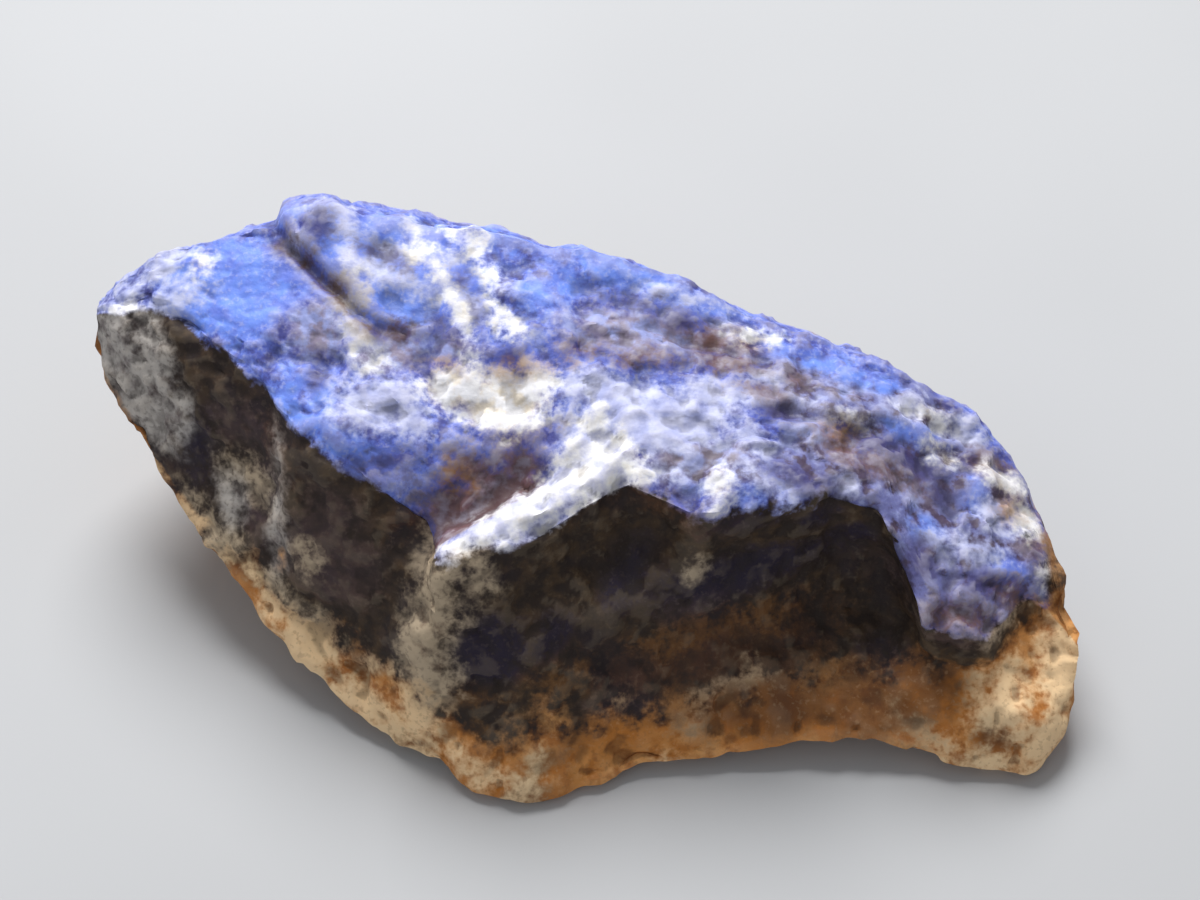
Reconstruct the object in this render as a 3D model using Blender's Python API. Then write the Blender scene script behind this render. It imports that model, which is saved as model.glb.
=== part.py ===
"""Rough lapis lazuli: one natural broken lump of blue stone, tan and weathered underneath.

The stone is a loft between unlike sections. Fourteen long lines run from its raised nose at -X
to its rounded foot at +X, and each is a short list of places (x, y, z) in millimetres. A section
at any x joins the lines in turn: up the dark front, over the blue top, down the back and along
the underside. That skin is broken into flat chips, dressed with the slab, crack, notch, vein and
ledges of the lump, thinned to few faces, and cut level where it stands.
"""

import bmesh
import bpy
import numpy as np

# ---- driving dimensions, millimetres --------------------------------------------------------

MM = 0.001

LINES = {
    # front edge of the underside, from the lifted nose to the two front feet
    "foot": [
        (-32.9, 10.9, 13.5), (-30.6, 5.3, 9.9), (-28.4, 2.5, 8.3), (-25.8, -0.8, 7.0),
        (-22.4, -4.5, 5.2), (-19.6, -7.4, 3.5), (-16.8, -10.6, 2.2), (-12.1, -14.4, 0.8),
        (-6.8, -17.5, 0.8), (-4.1, -18.0, 0.8), (1.1, -16.9, 0.7), (7.7, -15.6, 1.0),
        (14.2, -14.6, 2.0), (18.8, -14.7, 2.3), (22.8, -15.3, 1.4), (26.1, -16.3, 0.9),
        (30.1, -15.9, 0.9), (32.0, -14.0, 1.8), (32.7, -11.3, 4.1),
    ],
    # top of the tan rind along the front
    "belly": [
        (-32.9, 10.8, 13.9), (-29.6, 5.0, 10.8), (-26.2, 1.4, 8.9), (-22.4, -2.8, 7.4),
        (-19.0, -6.2, 5.8), (-17.0, -8.7, 4.9), (-12.0, -13.1, 4.1), (-5.0, -16.4, 3.4),
        (1.5, -15.3, 3.6), (8.0, -13.3, 4.0), (14.0, -12.0, 4.4), (19.6, -11.6, 4.2),
        (22.6, -13.8, 4.0), (26.0, -14.4, 4.0), (30.0, -13.6, 3.8), (32.0, -12.6, 3.7),
        (32.7, -11.4, 4.8),
    ],
    # middle of the dark front
    "brow": [
        (-32.8, 10.7, 14.4), (-29.1, 6.4, 13.2), (-26.3, 3.8, 13.0), (-22.6, 0.7, 11.6),
        (-18.6, -4.6, 10.3), (-16.0, -7.0, 9.2), (-11.9, -10.9, 8.0), (-10.2, -12.3, 8.0),
        (-5.1, -13.0, 7.6), (-2.8, -12.6, 8.0), (2.9, -10.4, 8.2), (7.6, -9.4, 8.0),
        (11.6, -8.6, 8.0), (16.3, -7.6, 7.2), (19.8, -7.8, 6.6), (21.4, -9.6, 6.0),
        (23.0, -11.2, 6.0), (26.2, -11.6, 5.6), (29.6, -10.4, 5.4), (31.7, -10.9, 4.9),
        (32.7, -11.2, 5.3),
    ],
    # steep band close under the top edge
    "eave": [
        (-32.8, 11.0, 15.0), (-31.6, 9.6, 15.6), (-29.1, 8.0, 15.8), (-26.2, 5.4, 15.6),
        (-22.6, 2.4, 15.0), (-20.1, -0.2, 14.4), (-18.4, -2.6, 13.8), (-15.0, -4.9, 13.2),
        (-11.0, -8.4, 12.0), (-9.3, -10.8, 11.6), (-5.0, -10.2, 11.8), (-0.5, -7.7, 12.8),
        (2.9, -6.5, 13.2), (6.8, -7.4, 12.8), (11.3, -6.4, 12.4), (16.0, -5.2, 12.0),
        (19.4, -5.4, 11.2), (20.8, -8.0, 9.4), (22.0, -11.1, 8.2), (26.1, -11.1, 7.0),
        (29.7, -8.2, 6.9), (31.5, -9.8, 5.9), (32.7, -10.9, 5.7),
    ],
    # edge between the blue top and the dark front
    "arris": [
        (-32.8, 11.2, 15.3), (-31.6, 10.2, 16.4), (-29.0, 9.4, 17.8), (-26.1, 7.2, 18.5),
        (-22.5, 4.4, 18.0), (-20.1, 1.5, 17.2), (-18.0, -1.0, 16.8), (-15.0, -3.0, 16.4),
        (-11.8, -5.8, 15.2), (-10.6, -7.4, 14.2), (-9.3, -9.3, 13.8), (-5.0, -8.5, 14.6),
        (-2.7, -8.1, 15.2), (0.2, -6.5, 16.3), (2.9, -5.1, 16.8), (6.8, -6.9, 16.2),
        (11.3, -6.0, 15.8), (15.9, -4.9, 15.2), (19.2, -5.1, 14.0), (20.7, -7.6, 12.0),
        (22.0, -11.2, 9.7), (26.1, -10.9, 8.4), (29.7, -7.2, 8.1), (31.5, -8.9, 6.7),
        (32.7, -10.6, 6.1),
    ],
    # front third of the top
    "shelf": [
        (-32.8, 11.5, 15.5), (-31.6, 11.0, 16.8), (-29.0, 10.6, 18.4), (-26.0, 9.4, 19.5),
        (-20.0, 5.4, 18.9), (-15.0, 1.6, 18.0), (-10.0, -2.4, 16.9), (-4.0, -2.6, 16.8),
        (3.0, 0.3, 18.1), (9.0, -1.6, 17.2), (16.0, -1.2, 16.0), (19.6, -2.0, 14.9),
        (22.0, -5.6, 12.5), (26.0, -5.6, 11.0), (29.7, -4.6, 9.2), (31.5, -7.9, 7.2),
        (32.7, -10.4, 6.3),
    ],
    # back third of the top
    "crown": [
        (-32.8, 11.9, 15.6), (-31.6, 11.8, 17.0), (-29.0, 11.8, 18.8), (-26.0, 11.5, 20.2),
        (-20.0, 9.6, 20.2), (-15.0, 7.5, 20.0), (-10.0, 5.5, 19.4), (-3.0, 5.0, 19.2),
        (4.0, 5.6, 19.2), (10.0, 4.0, 17.9), (16.0, 3.2, 16.4), (20.0, 2.4, 15.4),
        (23.0, 0.8, 14.2), (26.5, -0.4, 12.6), (29.9, -3.2, 9.7), (31.5, -7.4, 7.5),
        (32.7, -10.2, 6.5),
    ],
    # highest line of the stone
    "ridge": [
        (-32.8, 12.2, 15.6), (-31.6, 12.6, 17.1), (-29.2, 13.0, 19.0), (-25.7, 13.2, 20.4),
        (-20.4, 13.8, 21.2), (-18.5, 14.1, 21.5), (-11.0, 13.7, 21.0), (-7.0, 13.2, 21.0),
        (-3.0, 12.2, 20.9), (2.4, 11.5, 20.4), (6.4, 10.9, 19.4), (9.1, 10.0, 18.4),
        (11.8, 8.8, 17.4), (15.8, 7.5, 16.3), (19.8, 6.6, 15.3), (23.2, 6.0, 14.5),
        (26.2, 4.7, 13.4), (28.5, 2.0, 11.5), (30.6, -2.8, 9.5), (31.5, -7.0, 7.7),
        (32.7, -9.8, 6.6),
    ],
    # slope just behind the ridge
    "nape": [
        (-32.8, 12.7, 15.3), (-31.6, 13.5, 16.3), (-29.0, 14.8, 17.6), (-24.0, 15.9, 18.6),
        (-19.0, 16.5, 19.5), (-8.0, 16.2, 19.0), (0.0, 14.8, 17.8), (8.0, 12.6, 15.8),
        (16.0, 10.4, 13.4), (22.0, 8.8, 12.0), (26.0, 7.0, 10.6), (29.5, 1.2, 8.2),
        (31.6, -6.2, 6.7), (32.7, -9.5, 6.1),
    ],
    # middle of the back
    "back": [
        (-32.8, 12.9, 14.8), (-31.6, 14.0, 14.8), (-29.0, 16.0, 14.4), (-23.5, 17.6, 13.2),
        (-17.0, 18.2, 12.6), (-8.0, 17.9, 11.4), (0.0, 16.9, 10.6), (8.0, 15.2, 9.2),
        (16.0, 13.0, 7.8), (22.0, 11.0, 6.8), (26.0, 8.6, 6.0), (29.5, 2.2, 5.0),
        (31.8, -5.8, 4.7), (32.7, -9.3, 5.4),
    ],
    # back edge of the underside
    "heel": [
        (-32.8, 12.5, 14.1), (-29.0, 15.0, 10.2), (-24.0, 16.6, 5.4), (-18.0, 17.4, 1.5),
        (-12.0, 17.3, 0.3), (-4.0, 17.2, 0.3), (4.0, 15.8, 0.9), (12.0, 13.6, 1.5),
        (20.0, 10.8, 0.6), (25.5, 8.0, 0.3), (29.5, 1.2, 1.4), (31.8, -6.4, 2.6),
        (32.7, -9.6, 4.7),
    ],
    # back bearing of the underside, sunk under the level cut where the stone stands
    "rump": [
        (-32.8, 12.2, 13.3), (-29.0, 12.6, 9.4), (-24.0, 12.8, 4.6), (-18.0, 12.4, 1.0),
        (-13.0, 12.0, -0.4), (-5.0, 12.2, -0.5), (3.0, 11.0, 0.3), (12.0, 9.0, 1.0),
        (20.0, 6.5, 0.0), (25.0, 4.0, -0.4), (29.0, -1.5, 0.6), (31.8, -8.0, 2.2),
        (32.7, -10.1, 4.3),
    ],
    # middle of the underside, a little hollow
    "keel": [
        (-32.9, 11.4, 12.9), (-29.0, 9.0, 9.2), (-24.0, 6.0, 5.6), (-18.0, 3.2, 2.2),
        (-12.0, 0.5, 1.2), (-4.0, -0.5, 0.8), (4.0, -1.0, 0.9), (12.0, -1.5, 1.4),
        (20.0, -3.0, 0.9), (26.0, -4.5, 0.4), (29.5, -7.0, 0.5), (31.9, -9.8, 2.1),
        (32.7, -10.6, 4.1),
    ],
    # front bearing of the underside, sunk under the level cut where the stone stands
    "sole": [
        (-32.9, 10.9, 12.7), (-29.0, 5.6, 9.0), (-24.0, 1.2, 5.7), (-18.0, -4.6, 2.5),
        (-12.0, -10.4, 0.6), (-7.0, -13.6, -0.6), (-3.0, -14.2, -0.7), (2.0, -13.4, -0.5),
        (8.0, -11.0, 0.8), (14.0, -10.5, 1.8), (19.0, -10.8, 1.9), (23.0, -11.8, 0.6),
        (26.0, -13.6, -0.6), (30.0, -13.2, -0.5), (32.0, -12.0, 1.8), (32.7, -11.0, 4.0),
    ],
}

# steps of the skin between one line and the next, in the order of the lines
SPANS = (12, 12, 12, 12, 21, 21, 21, 9, 18, 24, 15, 24, 24, 15)
STATIONS = 250

# Each pair named FROM_TO below is where a mark starts to come in and where it is whole.
TOP_MARKS_FROM_TO = (11.0, 14.0)

# the vein is one flat sheet of white calcite: a place on the top, one on the edge, one below
VEIN = ((3.7, -2.7, 17.6), (-9.1, -9.3, 13.8), (-12.1, -14.5, 1.5))
VEIN_HALF = 1.15
VEIN_PROUD = 0.35
VEIN_SIDE_FROM_TO = (0.3, 1.35)
VEIN_FROM_TO = (0.0, 0.35)
VEIN_UNEVEN = (1.7, 0.6)

# the notch broken out behind the vein: its floor is whole near the vein and runs out behind
NOTCH_DEEP = 1.7
NOTCH_WIDE = 4.2
NOTCH_WALL_FROM_TO = (-0.2, 0.9)
NOTCH_FROM_TO = (0.35, 0.7)
NOTCH_OUT_FROM_TO = (1.15, 1.45)

# edge of the raised slab on the top, seen from above, and the crack that runs under it
SLAB = ((-20.3, 18.5), (-20.2, 14.1), (-18.9, 12.3), (-16.4, 9.1), (-13.4, 6.7),
        (-10.0, 5.5), (-6.7, 4.4), (-2.8, 2.9))
SLAB_PROUD = 1.2
SLAB_WALL_FROM_TO = (-0.12, 0.22)
SLAB_LOWER = 0.85
SLAB_LOWER_FROM_TO = (0.2, 0.56)
SLAB_OUT_FROM_TO = (-8.0, 5.0)
CRACK_DEEP = 0.55
CRACK_WIDE = 0.32
CRACK_AWAY = 0.3
CRACK_FROM_TO = (0.2, 0.35)
CRACK_OUT_FROM_TO = (0.54, 0.68)

# grooves and pits of the top seen from above: a path, its depth and half width
GROOVES = (
    (((-22.0, 5.0), (-19.5, 4.3), (-16.5, 4.1), (-14.5, 4.4)), 0.5, 0.8),
    (((3.0, 7.2), (6.0, 5.8), (10.0, 6.2)), 0.5, 0.7),
    (((12.6, 1.2), (14.5, 0.3), (17.5, -0.4), (20.5, 0.6)), 0.7, 0.8),
    (((21.0, 3.2), (23.5, 1.6), (26.0, 1.9)), 0.6, 0.7),
)
GROOVE_END = 0.15
PITS = ((12.9, 0.6, 1.1, 0.45), (26.3, -0.1, 0.9, 0.6), (10.2, 5.6, 0.9, 0.4), (17.0, -1.5, 1.0, 0.4))
PIT_FLOOR = 0.3

# lobes that stand out: centre, reach, height
LOBES = (
    ((-15.6, -0.6, 17.4), 4.8, 0.7),
    ((24.0, -8.6, 10.6), 5.1, 0.6),
    ((29.5, -14.4, 2.8), 4.5, 0.7),
    ((-4.5, -17.0, 2.0), 5.4, 0.5),
)

# ledges across the back: a place on the edge, the way up from it, how far the back steps in
LEDGES = (
    ((-4.0, 17.0, 13.6), (0.22, 0.0, 0.97), 0.9),
    ((15.0, 14.0, 7.0), (-0.80, 0.0, 0.60), 0.8),
)
LEDGE_FROM_TO = (-0.3, 0.3)
LEDGE_OUT_FROM_TO = (2.0, 7.0)
BACK_FROM_TO = (0.1, 0.5)

# flat chips all over: size and slope; fewer on the smooth face at the left of the top, and on
# the worn rind low down on the right
CHIPS = ((9.0, 0.11), (3.4, 0.10))
CHIP_RAMP = 0.16
CALM_FROM_TO = (15.0, 19.0)
CALM_UP_FROM_TO = (0.3, 0.8)
CALM_SHARE = 0.55
WORN_FROM_TO = (10.0, 15.0)
WORN_UNDER_FROM_TO = (2.5, 6.5)
WORN_SHARE = 0.75

# marks drawn straight are bent by this much; the slab and the vein by a share of it
WANDER = 0.9
WANDER_SIZE = 5.0
SLAB_BEND = 0.5
VEIN_BEND = 0.4

# nicks out of an edge: the number of its line, half width in lines, size and depth
NICKS = ((4.0, 0.24, 2.4, 0.75), (4.0, 0.16, 1.1, 0.35), (7.0, 0.5, 2.8, 0.45))
NICK_FROM_TO = (0.0, 0.6)
NICK_ENDS_FROM_TO = (26.0, 30.0)

# the weathered rind of the underside is lumpy
RIND_LUMP = 2.6
RIND_PROUD = 0.45
RIND_OUT_FROM_TO = (3.0, 7.0)

# puts the middle of the base on the origin
CENTRING = (0.25, -0.17, 0.0)

TRIANGLES = 9400
LEVEL_BLOCK = (90.0, 60.0, 10.0)
SEED = 41

BLUE = (0.055, 0.085, 0.42, 1.0)
STONE_ROUGHNESS = 0.55


# ---- fields over places ---------------------------------------------------------------------


def ease(value, low, high):
    """Rises smoothly from 0 at low to 1 at high."""
    t = np.clip((value - low) / (high - low), 0.0, 1.0)
    return t * t * (3.0 - 2.0 * t)


def lattice(seed, parts):
    """A block of fixed random numbers that repeats in all three directions."""
    return np.random.default_rng(seed).random((32, 32, 32, parts))


def lumps(place, size, seed):
    """Smooth noise from -1 to 1: numbers at the corners of a lattice, eased between them."""
    table = lattice(seed, 1)[..., 0] * 2.0 - 1.0
    scaled = place / size
    low = np.floor(scaled).astype(int)
    share = ease(scaled - low, 0.0, 1.0)
    total = 0.0
    for corner in np.ndindex(2, 2, 2):
        at = (low + corner) % table.shape[0]
        weight = np.prod(np.where(corner, share, 1.0 - share), axis=-1)
        total = total + weight * table[at[..., 0], at[..., 1], at[..., 2]]
    return total


def chips(place, size, seed):
    """Flat chips: each place takes the height of the tilted plane of its nearest centre,
    with a narrow ramp where two chips meet."""
    table = lattice(seed, 7)
    scaled = place / size
    low = np.floor(scaled).astype(int)
    near = np.full(place.shape[:-1], np.inf)
    next_near = near.copy()
    height = np.zeros_like(near)
    next_height = np.zeros_like(near)
    for corner in np.ndindex(3, 3, 3):
        cell = low + corner - 1
        at = cell % table.shape[0]
        row = table[at[..., 0], at[..., 1], at[..., 2]]
        away = scaled - (cell + 0.1 + 0.8 * row[..., :3])
        far = np.linalg.norm(away, axis=-1)
        plane = np.sum((row[..., 3:6] * 2.0 - 1.0) * away, axis=-1) + 0.3 * (row[..., 6] - 0.5)
        first = far < near
        second = ~first & (far < next_near)
        next_height = np.where(first, height, np.where(second, plane, next_height))
        next_near = np.where(first, near, np.where(second, far, next_near))
        height = np.where(first, plane, height)
        near = np.where(first, far, near)
    share = 0.5 + 0.5 * ease(next_near - near, 0.0, CHIP_RAMP)
    return size * (share * height + (1.0 - share) * next_height)


def wander(place):
    """Places pushed about by smooth noise, so that what is drawn straight comes out broken."""
    wide = [lumps(place, WANDER_SIZE, SEED + 11 + axis) for axis in range(3)]
    close = [lumps(place, 0.3 * WANDER_SIZE, SEED + 14 + axis) for axis in range(3)]
    return place + WANDER * (np.stack(wide, axis=-1) + 0.35 * np.stack(close, axis=-1))


def path_distance(place, path):
    """Distance seen from above to a path, positive on its left, and the share along it."""
    flat = place[..., :2]
    best = np.full(flat.shape[:-1], np.inf)
    signed = best.copy()
    along = np.zeros_like(best)
    corners = np.array(path)
    for number, (start, end) in enumerate(zip(corners[:-1], corners[1:])):
        run = end - start
        share = np.clip(np.sum((flat - start) * run, axis=-1) / np.dot(run, run), 0.0, 1.0)
        away = flat - start - share[..., None] * run
        far = np.linalg.norm(away, axis=-1)
        side = np.sign(run[0] * away[..., 1] - run[1] * away[..., 0])
        closer = far < best
        signed = np.where(closer, far * side, signed)
        along = np.where(closer, (number + share) / (len(corners) - 1), along)
        best = np.where(closer, far, best)
    return signed, along


def vein_distance(place):
    """Distance from the middle of the vein's sheet, positive in front of it."""
    top, edge, low = np.array(VEIN)
    normal = np.cross(edge - top, low - top)
    return np.dot(place - top, normal / np.linalg.norm(normal))


# ---- the skin -------------------------------------------------------------------------------


def loft():
    """A grid of places: the lines read at each station, joined straight to the next line."""
    share = np.linspace(0.0, 1.0, STATIONS)
    rounder = 0.5 - 0.5 * np.cos(np.pi * share)
    start = LINES["foot"][0][0]
    end = LINES["foot"][-1][0]
    x = start + (end - start) * (0.55 * share + 0.45 * rounder)
    lines = []
    for places in LINES.values():
        knots = np.array(places)
        y = np.interp(x, knots[:, 0], knots[:, 1])
        z = np.interp(x, knots[:, 0], knots[:, 2])
        lines.append(np.stack([x, y, z], axis=-1))
    rows = []
    for number, steps in enumerate(SPANS):
        here = lines[number]
        there = lines[(number + 1) % len(lines)]
        rows += [here + (there - here) * step / steps for step in range(steps)]
    return np.array(rows)


def line_numbers():
    """How far round the section each row is: its line's number plus the share to the next."""
    rows = [number + np.arange(steps) / steps for number, steps in enumerate(SPANS)]
    return np.concatenate(rows)[:, None]


def outward(skin):
    """Unit normals of the grid, smoothed over a few steps so that creases don't cross."""
    around = np.roll(skin, -1, axis=0) - np.roll(skin, 1, axis=0)
    normal = np.cross(np.gradient(skin, axis=1), around)
    for _ in range(6):
        normal = normal + np.roll(normal, 1, axis=0) + np.roll(normal, -1, axis=0)
        normal[:, 1:-1] = normal[:, 1:-1] + normal[:, 2:] + normal[:, :-2]
        normal /= np.linalg.norm(normal, axis=-1, keepdims=True) + 1e-12
    return normal


def slab_and_crack(place):
    """The raised slab behind its crack, dying out towards +X."""
    signed, along = path_distance(place, SLAB)
    proud = SLAB_PROUD * (1.0 - SLAB_LOWER * ease(along, *SLAB_LOWER_FROM_TO))
    slab = proud * ease(signed, *SLAB_WALL_FROM_TO)
    slab = slab * (1.0 - ease(place[..., 0], *SLAB_OUT_FROM_TO))
    crack = np.exp(-(((signed + CRACK_AWAY) / CRACK_WIDE) ** 2)) * ease(along, *CRACK_FROM_TO)
    crack = CRACK_DEEP * crack * (1.0 - ease(along, *CRACK_OUT_FROM_TO))
    return ease(place[..., 2], *TOP_MARKS_FROM_TO) * (slab - crack)


def vein_and_notch(place):
    """The white vein standing proud on the top, and the brown notch broken out beside it."""
    side = vein_distance(place)
    top, edge = np.array(VEIN[:2])
    run = edge - top
    along = np.dot(place - top, run) / np.dot(run, run)
    ridge = (1.0 - ease(np.abs(side), *VEIN_SIDE_FROM_TO)) * ease(along, *VEIN_FROM_TO)
    size, share = VEIN_UNEVEN
    ridge = ridge * (1.0 + share * lumps(place, size, SEED + 21))
    behind = -side - VEIN_HALF
    wall = ease(behind, *NOTCH_WALL_FROM_TO)
    hollow = wall * (1.0 - ease(behind, NOTCH_WALL_FROM_TO[1], NOTCH_WIDE))
    hollow = hollow * ease(along, *NOTCH_FROM_TO) * (1.0 - ease(along, *NOTCH_OUT_FROM_TO))
    return ease(place[..., 2], *TOP_MARKS_FROM_TO) * (VEIN_PROUD * ridge - NOTCH_DEEP * hollow)


def grooves_and_pits(place):
    """The small hollows of the top."""
    total = np.zeros(place.shape[:-1])
    for path, deep, half in GROOVES:
        signed, along = path_distance(place, path)
        ends = ease(along, 0.0, GROOVE_END) * (1.0 - ease(along, 1.0 - GROOVE_END, 1.0))
        total -= deep * ends * np.exp(-((signed / half) ** 2))
    for x, y, radius, deep in PITS:
        far = np.hypot(place[..., 0] - x, place[..., 1] - y)
        total -= deep * (1.0 - ease(far, PIT_FLOOR * radius, radius))
    return ease(place[..., 2], *TOP_MARKS_FROM_TO) * total


def lobes(place):
    """Rounded lobes that stand out."""
    total = np.zeros(place.shape[:-1])
    for centre, reach, proud in LOBES:
        far = np.linalg.norm(place - np.array(centre), axis=-1)
        total += proud * (1.0 - ease(far, 0.0, reach))
    return total


def ledges(place, normal):
    """The back steps in under an edge and comes out again below."""
    total = np.zeros(place.shape[:-1])
    for corner, way, deep in LEDGES:
        below = np.dot(np.array(corner) - place, np.array(way))
        total -= deep * ease(below, *LEDGE_FROM_TO) * (1.0 - ease(below, *LEDGE_OUT_FROM_TO))
    return ease(normal[..., 1], *BACK_FROM_TO) * total


def nicks(place):
    """Bits gone from the edges where the noise is high on their lines, but not at the ends."""
    total = np.zeros(place.shape[:-1])
    middle = 1.0 - ease(np.abs(place[..., 0]), *NICK_ENDS_FROM_TO)
    for number, (line, half, size, deep) in enumerate(NICKS):
        near = np.exp(-(((line_numbers() - line) / half) ** 2))
        total -= deep * near * ease(lumps(place, size, SEED + 22 + number), *NICK_FROM_TO)
    return middle * total


def chipped(place, normal):
    """Flat chips of each size, weaker on the smooth face at the left of the top and low down
    on the right, where the rind is worn."""
    smooth = ease(-place[..., 0], *CALM_FROM_TO) * ease(normal[..., 2], *CALM_UP_FROM_TO)
    low = ease(place[..., 0], *WORN_FROM_TO) * (1.0 - ease(place[..., 2], *WORN_UNDER_FROM_TO))
    total = np.zeros(place.shape[:-1])
    for number, (size, slope) in enumerate(CHIPS):
        total += slope * chips(place, size, SEED + number)
    return (1.0 - CALM_SHARE * smooth) * (1.0 - WORN_SHARE * low) * total


def broken(skin):
    """The skin moved along its normals by every mark of the stone."""
    normal = outward(skin)
    bent = wander(skin)
    move = slab_and_crack(skin + SLAB_BEND * (bent - skin))
    move += vein_and_notch(skin + VEIN_BEND * (bent - skin))
    move += grooves_and_pits(bent)
    move += lobes(skin) + ledges(bent, normal) + nicks(skin) + chipped(skin, normal)
    rind = 1.0 - ease(skin[..., 2], *RIND_OUT_FROM_TO)
    move += RIND_PROUD * rind * lumps(skin, RIND_LUMP, SEED + 7)
    return skin + normal * move[..., None] + np.array(CENTRING)


# ---- Blender objects ------------------------------------------------------------------------


def collection(name):
    made = bpy.data.collections.new(name)
    bpy.context.scene.collection.children.link(made)
    return made


def stone_material():
    material = bpy.data.materials.new("blue_stone")
    material.use_nodes = True
    shader = material.node_tree.nodes["Principled BSDF"]
    shader.inputs["Base Color"].default_value = BLUE
    shader.inputs["Roughness"].default_value = STONE_ROUGHNESS
    shader.inputs["Metallic"].default_value = 0.0
    return material


def closed_mesh(name, skin):
    """The grid wrapped round and closed at both ends on a middle point."""
    around, stations = skin.shape[:2]
    ends = [skin[:, 0].mean(axis=0), skin[:, -1].mean(axis=0)]
    points = np.concatenate([skin.reshape(-1, 3), ends]) * MM
    row = np.arange(around)
    after = (row + 1) % around
    faces = []
    for station in range(stations - 1):
        here = row * stations + station
        there = after * stations + station
        faces += np.stack([here, here + 1, there + 1, there], axis=1).tolist()
    first = around * stations
    faces += [[first, a, b] for a, b in zip(row * stations, after * stations)]
    last = stations - 1
    faces += [[first + 1, b + last, a + last] for a, b in zip(row * stations, after * stations)]
    mesh = bpy.data.meshes.new(name)
    mesh.from_pydata(points.tolist(), [], faces)
    mesh.update()
    return mesh


def level_block(home):
    """The block under the stone that cuts its feet level."""
    mesh = bpy.data.meshes.new("level_block")
    form = bmesh.new()
    bmesh.ops.create_cube(form, size=1.0)
    wide, deep, high = (size * MM for size in LEVEL_BLOCK)
    bmesh.ops.scale(form, vec=(wide, deep, high), verts=form.verts)
    bmesh.ops.translate(form, vec=(0.0, 0.0, -0.5 * high), verts=form.verts)
    form.to_mesh(mesh)
    form.free()
    block = bpy.data.objects.new("level_block", mesh)
    block.hide_render = True
    block.display_type = "WIRE"
    home.objects.link(block)
    return block


def stone(home, block):
    mesh = closed_mesh("lapis_stone", broken(loft()))
    mesh.materials.append(stone_material())
    lump = bpy.data.objects.new("lapis_stone", mesh)
    home.objects.link(lump)
    thin = lump.modifiers.new("few faces", "DECIMATE")
    thin.ratio = TRIANGLES / (2.0 * len(mesh.polygons))
    thin.use_collapse_triangulate = True
    cut = lump.modifiers.new("level feet", "BOOLEAN")
    cut.operation = "DIFFERENCE"
    cut.solver = "EXACT"
    cut.object = block
    return lump


def main():
    for old in list(bpy.data.objects):
        bpy.data.objects.remove(old)
    block = level_block(collection("cutters"))
    stone(collection("rough_lapis_lazuli"), block)


main()
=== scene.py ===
"""Rough lapis lazuli: the finished surface of the stone, its stand and its light.

The stone's solid is the fixed frame. Its skin is worked out again here on a finer grid from the
same long lines and marks, roughened, and coloured by masks that are kept as attributes.
"""

import bpy
import numpy as np
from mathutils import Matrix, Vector


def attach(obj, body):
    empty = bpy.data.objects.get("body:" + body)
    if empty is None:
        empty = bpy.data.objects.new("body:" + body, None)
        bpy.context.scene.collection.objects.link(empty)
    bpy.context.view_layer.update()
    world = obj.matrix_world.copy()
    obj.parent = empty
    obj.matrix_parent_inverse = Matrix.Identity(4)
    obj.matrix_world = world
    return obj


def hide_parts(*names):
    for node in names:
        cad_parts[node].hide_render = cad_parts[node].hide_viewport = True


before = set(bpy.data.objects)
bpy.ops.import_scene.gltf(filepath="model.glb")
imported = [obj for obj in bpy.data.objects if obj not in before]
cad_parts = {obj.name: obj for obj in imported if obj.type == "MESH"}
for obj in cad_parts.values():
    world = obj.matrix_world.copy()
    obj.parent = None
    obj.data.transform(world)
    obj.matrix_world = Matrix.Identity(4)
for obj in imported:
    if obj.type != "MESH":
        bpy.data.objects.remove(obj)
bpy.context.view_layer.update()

bl_info = {
    "name": "Rough Lapis Lazuli",
    "version": (1, 0, 0),
    "blender": (4, 5, 0),
    "location": "3D View > Sidebar > Lapis",
    "description": "Builds a rough lump of lapis lazuli and the stage it lies on",
    "category": "Add Mesh",
}

MM = 0.001

# ---- the stone's form, millimetres, as its solid has it ----

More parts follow.
